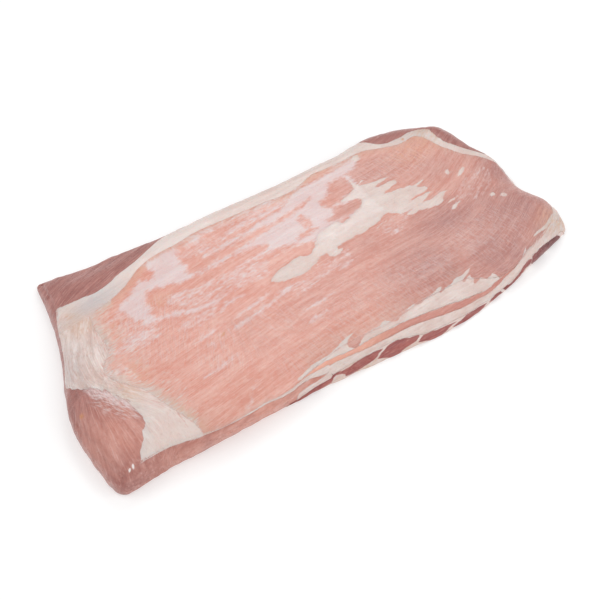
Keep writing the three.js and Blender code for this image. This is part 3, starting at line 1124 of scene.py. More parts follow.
@dataclass(frozen=True)
class Marks:
    """Fields on a sheet's vertices that its finish reads.

    near_fat and near_lean are the only fat of the near rim and the only lean of a sheet's
    near side, in the sight's plane, within rim_reach and side_reach of that side. tones and
    peach are the places of each sheet's second tone and peach tint, border_peach and
    soft_borders those where the border of the top sheet is peach or blurred, spots are brown
    spots, painted_glints small white spots of painted highlight that stand in for wet glints,
    and frays films that hang over a sheet. The gains make distances on a cut side larger, so
    that edges stay crisp. A Range says over which millimetres or weights a field comes in or
    ends.
    """

    surface: Surface
    near_fat: Patches
    near_lean: dict[Layer, Patches]
    tones: dict[Layer, Blobs]
    peach: dict[Layer, Blobs]
    border_peach: Blobs
    soft_borders: Blobs
    spots: Blobs
    painted_glints: Blobs
    frays: dict[Layer, Patches]
    sight: Sight = Sight()
    soft_slope: float = 0.05
    soft_bias: float = 0.3
    soft_reach: Range = (11.0, 19.0)
    soft_rise: Range = (0.0, 0.5)
    rim_reach: float = 26.0
    side_reach: float = 6.0
    wall_gain: float = 1.7
    mark_gain: float = 1.3
    far_away: float = 60.0
    no_film: float = -20.0
    ring_start: Range = (-1.5, 3.0)
    ring_end: Range = (5.0, 15.0)
    tone_end: Range = (-0.5, 1.0)
    bottom_peach: Range = (0.0, 1.0)
    loose_rise: Range = (0.0, 0.35)
    wall_strands: float = 0.35

    def border(self, at: Place) -> Array:
        """Distance to the nearest tissue of the other kind.

        On the exposed top it is the distance to an outline, and on a cut side the height to
        the sheet's own border.

        Args:
            at: the sheet's vertices.

        Returns:
            Millimetres, never negative.
        """
        index, sheets = at.index, self.surface.form.sheets
        mine = sheets[index].tissue
        above, below = np.zeros_like(at.s), np.zeros_like(at.s)
        outline = np.full_like(at.s, self.far_away)
        exposed = np.ones_like(at.s, bool)
        for k in range(index):
            above = np.where(at.insides[k] > 0, sheets[k].tissue.value, above)
            exposed &= at.insides[k] <= 0
            if sheets[k].tissue is not mine:
                outline = np.minimum(outline, -at.insides[k])
        for k in range(len(sheets) - 1, index, -1):
            below = np.where(at.insides[k] > 0, sheets[k].tissue.value, below)
        if index < len(sheets) - 1:
            own = np.where(below == -mine.value, at.insides[index], self.far_away)
            outline = np.minimum(outline, own)
        up = np.where(above == -mine.value, (1 - at.level) * at.thickness, self.far_away)
        down = np.where(below == -mine.value, at.level * at.thickness, self.far_away)
        wall = np.minimum(up, down) * self.wall_gain
        return np.maximum(0, np.where(exposed & (at.level == 1), outline, wall))

    def fat(self, at: Place) -> Array:
        """How far inside fat a vertex lies, in millimetres, negative in lean.

        Args:
            at: the sheet's vertices.

        Returns:
            The signed distance, with the patches of the top and the marks of the near side.
        """
        form = self.surface.form
        sheet = form.sheets[at.index]
        found = sheet.tissue.value * self.border(at)
        close = 1 - smoothstep(np.abs(at.insides[0]), *self.soft_reach)
        soft = smoothstep(weights(self.soft_borders, at.x, at.y) * close, *self.soft_rise)
        found = mix(found, self.soft_slope * found + self.soft_bias, soft)
        inward = at.t * form.width
        seen = self.sight.lay_out(at.x, at.y, at.z)
        rim = self.mark_gain * inside_any(self.near_fat, *seen)
        if sheet.layer is Layer.FAT_UPPER:
            found = np.where(inward < self.rim_reach, np.minimum(found, rim), found)
        if sheet.layer is Layer.LEAN_TOP:
            found = np.where(inward < self.rim_reach, np.maximum(found, rim), found)
            patches = self.surface.fat_on_top(at.x, at.y)
            found = np.where(at.level == 1, np.maximum(found, patches), found)
        if sheet.layer in self.near_lean:
            around = -self.mark_gain * inside_any(self.near_lean[sheet.layer], *seen)
            found = np.where(inward < self.side_reach, np.maximum(found, around), found)
        return found

    def fields(self, at: Place) -> dict[str, Array]:
        """All the scalar fields of a sheet.

        Args:
            at: the sheet's vertices.

        Returns:
            Each field's name and its values.
        """
        sheet = self.surface.form.sheets[at.index]
        x, y, inside = at.x, at.y, at.insides[0]
        on_top = at.level == 1
        fat = self.fat(at)
        film = np.full_like(x, self.no_film)
        if sheet.layer is Layer.LEAN_TOP:
            film = np.where(on_top, self.surface.film_on_top(x, y), film)
        if sheet.layer in self.frays:
            film = np.where(at.level > 0, inside_any(self.frays[sheet.layer], x, y), film)
        tone = weights(self.tones.get(sheet.layer, ()), x, y)
        if sheet.tissue is Tissue.LEAN:
            tone = tone * (1 - smoothstep(fat, *self.tone_end))
        ring = smoothstep(inside, *self.ring_start) * (1 - smoothstep(inside, *self.ring_end))
        border = ring * weights(self.border_peach, x, y)
        peach = np.maximum(weights(self.peach.get(sheet.layer, ()), x, y), border)
        if sheet.layer is Layer.LEAN_BOTTOM:
            peach = peach * smoothstep(fat, *self.bottom_peach)
        _, _, ridges = self.surface.rungs(x, y)
        loose = smoothstep(self.surface.left_fat.weight(x, y), *self.loose_rise)
        return {
            "fat": fat,
            "film": film,
            "tone": tone,
            "peach": peach,
            "spot": weights(self.spots, x, y),
            # Small white spots of painted highlight that stand in for wet glints, on the top only.
            "painted_glint": np.where(on_top, weights(self.painted_glints, x, y), 0.0),
            "ridges": np.where(on_top, ridges, 0.0),
            # The strands' painted shade and painted highlights also show, weaker, on every cut side.
            "loose": np.maximum(loose, self.wall_strands * (at.level < 1)),
        }

    def coordinates(self, at: Place) -> dict[str, Array]:
        """The two sets of coordinates that patterns follow.

        Args:
            at: the sheet's vertices.

        Returns:
            Each set's name and its three columns, in millimetres.
        """
        step, along, _ = self.surface.rungs(at.x, at.y)
        fat = self.surface.form.sheets[at.index].tissue is Tissue.FAT
        grain = self.surface.strand_grain if fat else self.surface.grain
        return {
            "grain": grain(at.x, at.y, at.z),
            "rungs": np.stack([step, along, at.z], axis=-1),
        }


# ---- Finishes ----


def srgb(red: float, green: float, blue: float) -> Colour:
    """Linear colour of a screen colour.

    Each part becomes ((v + 0.055) / 1.055)^2.4, or v / 12.92 where it is very dark.

    Args:
        red, green, blue: its parts, from 0 to 255.

    Returns:
        The colour, opaque.
    """
    scaled = (value / 255 for value in (red, green, blue))
    linear = [v / 12.92 if v <= 0.04045 else ((v + 0.055) / 1.055) ** 2.4 for v in scaled]
    return (linear[0], linear[1], linear[2], 1.0)


@dataclass(frozen=True)
class Pattern:
    """Noise on one of the mesh's sets of coordinates, with its steps in millimetres."""

    steps: Point
    detail: float = 2.0
    rough: float = 0.6
    follows: str = "grain"


@dataclass(frozen=True)
class Rise:
    """A smooth rise from 0 at low to top at high."""

    low: float
    high: float
    top: float = 1.0


class Graph:
    """A material's node tree, with short calls for the nodes that the finishes use."""

    def __init__(self, name: str) -> None:
        """Start an empty material.

        Args:
            name: the material's name.
        """
        self.material = bpy.data.materials.new(name)
        self.material.use_nodes = True
        self.tree = self.material.node_tree
        self.tree.nodes.clear()

    def node(self, kind: str, inputs: dict[str | int, object], **settings: object) -> bpy.types.Node:
        """Add a node.

        Args:
            kind: the node's type.
            inputs: other nodes' outputs and plain values, by the name or number of the input.
            settings: some of its settings.

        Returns:
            The node.
        """
        made = self.tree.nodes.new(kind)
        for key, value in settings.items():
            setattr(made, key, value)
        for key, value in inputs.items():
            if isinstance(value, Socket):
                self.tree.links.new(value, made.inputs[key])
            else:
                made.inputs[key].default_value = value
        return made

    def finished(self, shader: bpy.types.Node) -> bpy.types.Material:
        """The material, with the shader on its surface."""
        self.node("ShaderNodeOutputMaterial", {"Surface": shader.outputs[0]})
        return self.material

    def field(self, name: str) -> Socket:
        """A scalar field of the mesh."""
        return self.node("ShaderNodeAttribute", {}, attribute_name=name).outputs["Fac"]

    def noise(self, pattern: Pattern) -> Socket:
        """Noise from 0 to 1, on coordinates that are counted in the pattern's steps.

        Args:
            pattern: its steps, detail and roughness.

        Returns:
            The noise.
        """
        source = self.node("ShaderNodeAttribute", {}, attribute_name=pattern.follows)
        scale = {0: source.outputs["Vector"], 1: tuple(1 / step for step in pattern.steps)}
        steps = self.node("ShaderNodeVectorMath", scale, operation="MULTIPLY").outputs[0]
        look = {"Vector": steps, "Scale": 1.0, "Detail": pattern.detail, "Roughness": pattern.rough}
        return self.node("ShaderNodeTexNoise", look, noise_dimensions="3D").outputs["Fac"]

    def math(self, operation: str, *values: object) -> Socket:
        """One arithmetic step on some values."""
        return self.node("ShaderNodeMath", dict(enumerate(values)), operation=operation).outputs[0]

    def times(self, first: object, second: object) -> Socket:
        """The product of two values."""
        return self.math("MULTIPLY", first, second)

    def total(self, shares: Floats, *values: object, start: object = 0.0) -> Socket:
        """A start, plus each value times its share.

        Args:
            shares: the shares.
            values: the values.
            start: the start.

        Returns:
            The sum.
        """
        for share, value in zip(shares, values):
            start = self.math("MULTIPLY_ADD", value, share, start)
        return start

    def rise(self, value: object, rise: Rise) -> Socket:
        """A value taken through a smooth rise."""
        ends = {"From Min": rise.low, "From Max": rise.high, "To Min": 0.0, "To Max": rise.top}
        made = self.node("ShaderNodeMapRange", {"Value": value, **ends}, interpolation_type="SMOOTHSTEP")
        return made.outputs["Result"]

    def blend(self, share: object, low: object, high: object) -> Socket:
        """Colour between low and high."""
        made = self.node("ShaderNodeMix", {"Factor": share, "A": low, "B": high}, data_type="RGBA")
        return next(one for one in made.outputs if one.type == "RGBA")

    def coats(self, colour: object, *coats: tuple[object, object]) -> Socket:
        """A colour under several coats.

        Args:
            colour: the colour.
            coats: the share and the colour of each coat, from the lowest up.

        Returns:
            The colour that shows.
        """
        for share, coat in coats:
            colour = self.blend(share, colour, coat)
        return colour


@dataclass(frozen=True)
class Patterns:
    """The noises of one meat material, and the mesh's fields as they are worked into them."""

    streaks: Socket
    fibres: Socket
    frays: Socket
    mottle: Socket
    clouds: Socket
    ridged: Socket
    streaked: Socket
    fat: Socket
    film: Socket
    peach: Socket
    loose: Socket


@dataclass(frozen=True)
class MeatFinish:
    """Moist raw meat: lean with its fibres, and fat, film and tints laid over it.

    The lean is drawn from two colours by streaks along the grain. Then come the region's
    tone, pale lines along the fibres that are painted highlights, the peach tint, the film,
    and last the fat, whose edge is frayed by noise that is drawn out along the grain. The
    fat's strands carry painted shade and painted highlights, and small white spots are painted
    wet glints. Sizes are in millimetres. A Rise says where a pattern starts to count and where
    it counts in full, and shares and reliefs weigh patterns against each other in the order of
    the sum that takes them.
    """

    name: str
    lean_deep: Colour
    lean_pale: Colour
    lean_tone: Colour
    tone_pale: Colour
    lean_peach: Colour = srgb(222, 168, 143)
    # Colour of the pale lines that are painted along the fibres as highlights.
    painted_fibre_highlight: Colour = srgb(236, 200, 190)
    film: Colour = srgb(227, 210, 209)
    film_blush: Colour = srgb(224, 199, 197)
    fat_warm: Colour = srgb(225, 208, 201)
    fat_cool: Colour = srgb(204, 194, 193)
    fat_blush: Colour = srgb(219, 194, 186)
    # A pinkish grey of the fat, also used as painted shade between its strands.
    fat_grey_and_painted_shade: Colour = srgb(196, 164, 154)
    # The white of film on the fat, also used for painted highlights on strands and wet spots.
    fat_white_and_painted_highlight: Colour = srgb(240, 229, 225)
    fat_peach: Colour = srgb(211, 173, 147)
    spot: Colour = srgb(204, 140, 88)
    streak: Pattern = Pattern((48.0, 3.6, 3.6), 3.0, 0.55)
    fibre: Pattern = Pattern((18.0, 1.0, 1.0))
    fray: Pattern = Pattern((9.0, 1.6, 1.6), 2.5)
    mottle: Pattern = Pattern((6.0, 3.4, 3.4), 2.5)
    cloud: Pattern = Pattern((24.0, 15.0, 15.0), 3.0, 0.55)
    ridge: Pattern = Pattern((1.7, 9.0, 9.0), 2.0, 0.55, "rungs")
    band: Pattern = Pattern((130.0, 9.0, 9.0), 2.0, 0.5)
    wet: Pattern = Pattern((3.4, 2.2, 2.2))
    streak_shares: Floats = (0.32, 0.32, 0.25, 0.18, 0.30)
    strand_shares: Range = (0.5, 0.5)
    fray_depth: float = 1.6
    film_breaks: Floats = (9.0, 6.0, 0.6)
    ridge_rise: Rise = Rise(0.44, 0.70)
    fat_rise: Rise = Rise(-0.6, 0.6)
    film_rise: Rise = Rise(-2.6, 4.2, 0.9)
    peach_rise: Rise = Rise(0.25, 0.75)
    lean_rise: Rise = Rise(0.54, 0.84)
    tone_rise: Rise = Rise(0.35, 0.65, 0.20)
    tone_least: float = 0.78
    painted_fibre_highlight_rise: Rise = Rise(0.54, 0.74, 0.2)
    lean_peach_share: float = 0.8
    ridge_share: float = 0.24
    filmed_rise: Rise = Rise(0.58, 0.80)
    blush_rise: Rise = Rise(0.3, 0.7)
    warm_rise: Rise = Rise(0.3, 0.8, 0.5)
    shade_mottle: Rise = Rise(0.42, 0.72)
    shade_frays: Rise = Rise(0.4, 0.7)
    shade_loose: float = 0.6
    shade_least: float = 0.35
    cloudy_rise: Rise = Rise(0.47, 0.62, 0.22)
    # Painted shade between the fat's strands and painted highlights on them.
    strand_painted_shade_rise: Rise = Rise(0.51, 0.64, 0.5)
    strand_painted_highlight_rise: Rise = Rise(0.49, 0.37)
    painted_highlight_loose: float = 0.3
    painted_highlight_least: float = 0.25
    fat_peach_share: float = 0.85
    fat_film_share: float = 0.4
    spot_share: float = 0.7
    # How the small white spots of painted highlight come in.
    painted_glint_spot_rise: Rise = Rise(0.1, 0.6)
    lean_roughness: float = 0.40
    fat_roughness: float = 0.38
    wet_rise: Rise = Rise(0.52, 0.68)
    wet_gloss: float = 0.20
    lean_reliefs: Range = (0.35, 0.25)
    fat_smooths: float = 0.7
    reliefs: Floats = (0.3, 0.5, 0.25, 0.2)
    bump: float = 0.55
    body: tuple[tuple[str, object], ...] = (
        ("IOR", 1.40), ("Coat Weight", 0.12), ("Coat Roughness", 0.22),
        ("Subsurface Weight", 0.16), ("Subsurface Scale", 0.0025),
        ("Subsurface Radius", (1.0, 0.42, 0.30)),
    )

    def patterns(self, g: Graph) -> Patterns:
        """Lay out the noises and the fields.

        Fat and film are their fields plus noise, so that their edges fray and break up. The
        lean's streaks are a weighted sum of noises.

        Args:
            g: the material's graph.

        Returns:
            What the colours, the gloss and the relief read.
        """
        streaks, fibres, frays = g.noise(self.streak), g.noise(self.fibre), g.noise(self.fray)
        mottle, clouds, bands = g.noise(self.mottle), g.noise(self.cloud), g.noise(self.band)
        ridged = g.times(g.field("ridges"), g.rise(g.noise(self.ridge), self.ridge_rise))
        off_mottle, off_frays = (g.math("SUBTRACT", one, 0.5) for one in (mottle, frays))
        fat = g.total((2 * self.fray_depth,), off_frays, start=g.field("fat"))
        film = g.total(self.film_breaks, off_mottle, off_frays, ridged, start=g.field("film"))
        return Patterns(
            streaks, fibres, frays, mottle, clouds, ridged,
            streaked=g.total(self.streak_shares, streaks, fibres, mottle, clouds, bands),
            fat=g.rise(fat, self.fat_rise),
            film=g.rise(film, self.film_rise),
            peach=g.times(g.field("peach"), g.rise(mottle, self.peach_rise)),
            loose=g.field("loose"),
        )

    def lean_colour(self, g: Graph, p: Patterns) -> Socket:
        """Colour of the lean, under its tone, painted highlights along the fibres, peach, ridges and film.

        Args:
            g: the material's graph.
            p: its patterns.

        Returns:
            The colour.
        """
        streaked = g.rise(p.streaked, self.lean_rise)
        patchy = g.math("ADD", g.rise(p.clouds, self.tone_rise), self.tone_least)
        toned = g.blend(streaked, self.lean_tone, self.tone_pale)
        filmed = g.blend(g.rise(p.streaked, self.filmed_rise), self.film_blush, self.film)
        return g.coats(
            g.blend(streaked, self.lean_deep, self.lean_pale),
            (g.times(g.field("tone"), patchy), toned),
            # Pale lines along the fibres: painted highlights.
            (g.rise(p.fibres, self.painted_fibre_highlight_rise), self.painted_fibre_highlight),
            (g.times(p.peach, self.lean_peach_share), self.lean_peach),
            (g.times(p.ridged, self.ridge_share), self.film),
            (p.film, filmed),
        )

    def fat_colour(self, g: Graph, p: Patterns) -> Socket:
        """Colour of the fat, under its cool tone, a grey mottle that is partly painted shade, painted
        shade and painted highlights on its strands, peach and film.

        Args:
            g: the material's graph.
            p: its patterns.

        Returns:
            The colour.
        """
        strand = g.total(self.strand_shares, p.streaks, p.fibres)
        shade = g.times(g.rise(p.mottle, self.shade_mottle), g.rise(p.frays, self.shade_frays))
        shaded = g.total((self.shade_loose,), p.loose, start=self.shade_least)
        highlighted = g.total((self.painted_highlight_loose,), p.loose, start=self.painted_highlight_least)
        return g.coats(
            g.blend(g.rise(p.clouds, self.blush_rise), self.fat_warm, self.fat_blush),
            (g.rise(p.fibres, self.warm_rise), self.fat_warm),
            (g.field("tone"), self.fat_cool),
            # A pinkish-grey mottle and clouds, partly the fat's own colour and partly painted shade.
            (g.times(shade, shaded), self.fat_grey_and_painted_shade),
            (g.times(g.rise(p.clouds, self.cloudy_rise), p.loose), self.fat_grey_and_painted_shade),
            # Darker and paler strands: painted shade between the strands and painted highlights on them.
            (g.times(g.rise(strand, self.strand_painted_shade_rise), p.loose), self.fat_grey_and_painted_shade),
            (g.times(g.rise(strand, self.strand_painted_highlight_rise), highlighted), self.fat_white_and_painted_highlight),
            (g.times(p.peach, self.fat_peach_share), self.fat_peach),
            (g.times(p.film, self.fat_film_share), self.fat_white_and_painted_highlight),
        )

    def relief(self, g: Graph, p: Patterns) -> Socket:
        """Height of the fine relief: the lean's fibres, smoothed by fat, and what lies on them.

        Args:
            g: the material's graph.
            p: its patterns.

        Returns:
            The height, in millimetres.
        """
        bare = g.math("SUBTRACT", 1.0, g.times(p.fat, self.fat_smooths))
        lean = g.times(g.total(self.lean_reliefs, p.streaks, p.fibres), bare)
        return g.total(self.reliefs, p.ridged, p.mottle, p.fat, p.frays, start=lean)

    def build(self) -> bpy.types.Material:
        """The finish as a material.

        Returns:
            The material.
        """
        g = Graph(self.name)
        p = self.patterns(g)
        colour = g.coats(
            self.lean_colour(g, p),
            (p.fat, self.fat_colour(g, p)),
            (g.times(g.field("spot"), self.spot_share), self.spot),
            # Last come the small white spots of painted highlight.
            (g.rise(g.field("painted_glint"), self.painted_glint_spot_rise), self.fat_white_and_painted_highlight),
        )
        gloss = (self.fat_roughness - self.lean_roughness, -self.wet_gloss)
        wet = g.rise(g.noise(self.wet), self.wet_rise)
        bump = {"Strength": self.bump, "Distance": METRES, "Height": self.relief(g, p)}
        inputs = {
            "Base Color": colour,
            "Roughness": g.total(gloss, p.fat, wet, start=self.lean_roughness),
            "Normal": g.node("ShaderNodeBump", bump).outputs[0],
            **dict(self.body),
        }
        return g.finished(g.node("ShaderNodeBsdfPrincipled", inputs, subsurface_method="RANDOM_WALK"))


# ---- Pieces ----


@dataclass
class SlabSheet:
    """One sheet of the slab as a finished piece."""

    index: int
    mesher: SheetMesher
    marks: Marks
    finish: MeatFinish

    @property
    def sheet(self) -> SheetForm:
        """The sheet's form."""
        return self.mesher.surface.form.sheets[self.index]

    def mesh(self) -> bpy.types.Mesh:
        """The sheet's closed mesh with its fields, moved into the frame and into metres.

        Returns:
            The mesh.
        """
        at, triangles = self.mesher.build(self.index)
        shift_x, shift_y = self.mesher.shift
        points = np.stack([at.x + shift_x, at.y + shift_y, at.z], axis=-1) * METRES
        mesh = bpy.data.meshes.new(f"{self.sheet.name}_skin")
        mesh.vertices.add(len(points))
        mesh.vertices.foreach_set("co", points.astype(np.float32).ravel())
        mesh.loops.add(triangles.size)
        mesh.loops.foreach_set("vertex_index", triangles.astype(np.int32).ravel())
        mesh.polygons.add(len(triangles))
        mesh.polygons.foreach_set("loop_start", np.arange(0, triangles.size, 3, dtype=np.int32))
        mesh.polygons.foreach_set("use_smooth", ~at.trimmed(triangles))
        mesh.update(calc_edges=True)
        for name, values in self.marks.fields(at).items():
            layer = mesh.attributes.new(name, "FLOAT", "POINT")
            layer.data.foreach_set("value", values.astype(np.float32))
        for name, values in self.marks.coordinates(at).items():
            layer = mesh.attributes.new(name, "FLOAT_VECTOR", "POINT")
            layer.data.foreach_set("vector", values.astype(np.float32).ravel())
        return mesh

    def build(self) -> bpy.types.Object:
        """The piece in the scene: it rides on the slab's body and stands for its CAD node.

        Returns:
            The piece.
        """
        piece = bpy.data.objects.new(f"{self.sheet.name}_meat", self.mesh())
        bpy.context.scene.collection.objects.link(piece)
        piece.data.materials.append(self.finish.build())
        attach(piece, "root")
        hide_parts(self.sheet.name)
        return piece


@dataclass
class Slab:
    """The whole slab: its form and surface, the marks on it, and a finish for each sheet.

    rim_points and rim_levels are how finely its outer rim is measured.
    """

    surface: Surface
    marks: Marks
    finishes: dict[Layer, MeatFinish]
    rim_points: int = 400
    rim_levels: int = 5

    def shift(self) -> Range:
        """Plan shift that brings the middle of the slab's footprint over that of the CAD box.

        Returns:
            The shift in x and in y, in millimetres.
        """
        shares, levels = np.linspace(0, 1, self.rim_points), np.linspace(0, 1, self.rim_levels)
        u, q = (one.ravel() for one in np.meshgrid(shares, levels))
        ends = np.zeros_like(u)
        rim = ((u, ends), (u, ends + 1), (ends, u), (ends + 1, u))
        s, t = (np.concatenate(one) for one in zip(*rim))
        found = self.surface.form.plan(s, t, np.tile(q, len(rim)))
        low, high = (np.asarray(corner) / METRES for corner in CAD_BOX)
        return tuple((low[k] + high[k] - one.min() - one.max()) / 2 for k, one in enumerate(found))

    def build(self) -> list[bpy.types.Object]:
        """Build every sheet, from the top down.

        Returns:
            The pieces.
        """
        mesher = SheetMesher(self.surface, self.shift())
        pieces = []
        for index, sheet in enumerate(self.surface.form.sheets):
            piece = SlabSheet(index, mesher, self.marks, self.finishes[sheet.layer]).build()
            LOG.info("%s: %d triangles", piece.name, len(piece.data.polygons))
            pieces.append(piece)
        return pieces


@dataclass(frozen=True)
class Lamp:
    """A square lamp that faces the slab: where it hangs, its watts and the length of its sides."""

    name: str
    at: Point
    watts: float
    size: float

    def build(self) -> None:
        """Hang the lamp and turn it to the slab."""
        lamp = bpy.data.lights.new(self.name, "AREA")
        lamp.energy, lamp.size = self.watts, self.size
        holder = bpy.data.objects.new(self.name, lamp)
        holder.location = self.at
        holder.rotation_euler = (-Vector(self.at)).to_track_quat("-Z", "Y").to_euler()
        bpy.context.scene.collection.objects.link(holder)


@dataclass(frozen=True)
class Studio:
    """A pale table, soft light from above and a camera that looks down on the slab."""

    camera_at: Point = (-0.4158, -0.5881, 0.8224)
    looks_at: Point = (-0.0167, -0.0252, 0.0)
    lens: float = 60.0
    sensor: float = 36.0
    clip: Range = (0.01, 50.0)
    table: float = 12.0
    table_paint: tuple[tuple[str, object], ...] = (
        ("Base Color", (0.72, 0.72, 0.72, 1.0)), ("Roughness", 0.9), ("Specular IOR Level", 0.2),
        ("Emission Color", (1.0, 1.0, 1.0, 1.0)), ("Emission Strength", 0.34),
    )
    sky_colour: Colour = (1.0, 1.0, 1.0, 1.0)
    sky: float = 0.58
    lamps: tuple[Lamp, ...] = (
        Lamp("key", (-1.1, 0.5, 1.7), 11.5, 1.5),
        Lamp("fill", (0.9, -1.4, 1.3), 13.0, 1.6),
        Lamp("sheen", (0.75, 1.0, 1.55), 5.0, 0.6),
    )

    def build_table(self) -> None:
        """Lay a plain matt surface, level with the slab's foot."""
        half = self.table / 2
        corners = [(-half, -half, 0), (half, -half, 0), (half, half, 0), (-half, half, 0)]
        mesh = bpy.data.meshes.new("table")
        mesh.from_pydata(corners, [], [(0, 1, 2, 3)])
        table = bpy.data.objects.new("table", mesh)
        bpy.context.scene.collection.objects.link(table)
        g = Graph("pale_table")
        mesh.materials.append(g.finished(g.node("ShaderNodeBsdfPrincipled", dict(self.table_paint))))

    def build_camera(self) -> None:
        """Set up the camera, with no shift and no depth of field."""
        data = bpy.data.cameras.new("camera")
        data.lens, data.sensor_width = self.lens, self.sensor
        data.clip_start, data.clip_end = self.clip
        camera = bpy.data.objects.new("camera", data)
        camera.location = self.camera_at
        towards = Vector(self.looks_at) - Vector(self.camera_at)
        camera.rotation_euler = towards.to_track_quat("-Z", "Y").to_euler()
        bpy.context.scene.collection.objects.link(camera)
        bpy.context.scene.camera = camera

    def build(self) -> None:
        """Set out the table, the camera, the lamps, the sky and a plain view transform."""
        scene = bpy.context.scene
        self.build_table()
        self.build_camera()
        for lamp in self.lamps:
            lamp.build()
        world = bpy.data.worlds.new("soft_sky")
        world.use_nodes = True
        background = world.node_tree.nodes["Background"]
        background.inputs["Color"].default_value = self.sky_colour
        background.inputs["Strength"].default_value = self.sky
        scene.world = world
        scene.view_settings.view_transform = "Standard"
        scene.view_settings.look = "None"


# ---- This slab ----


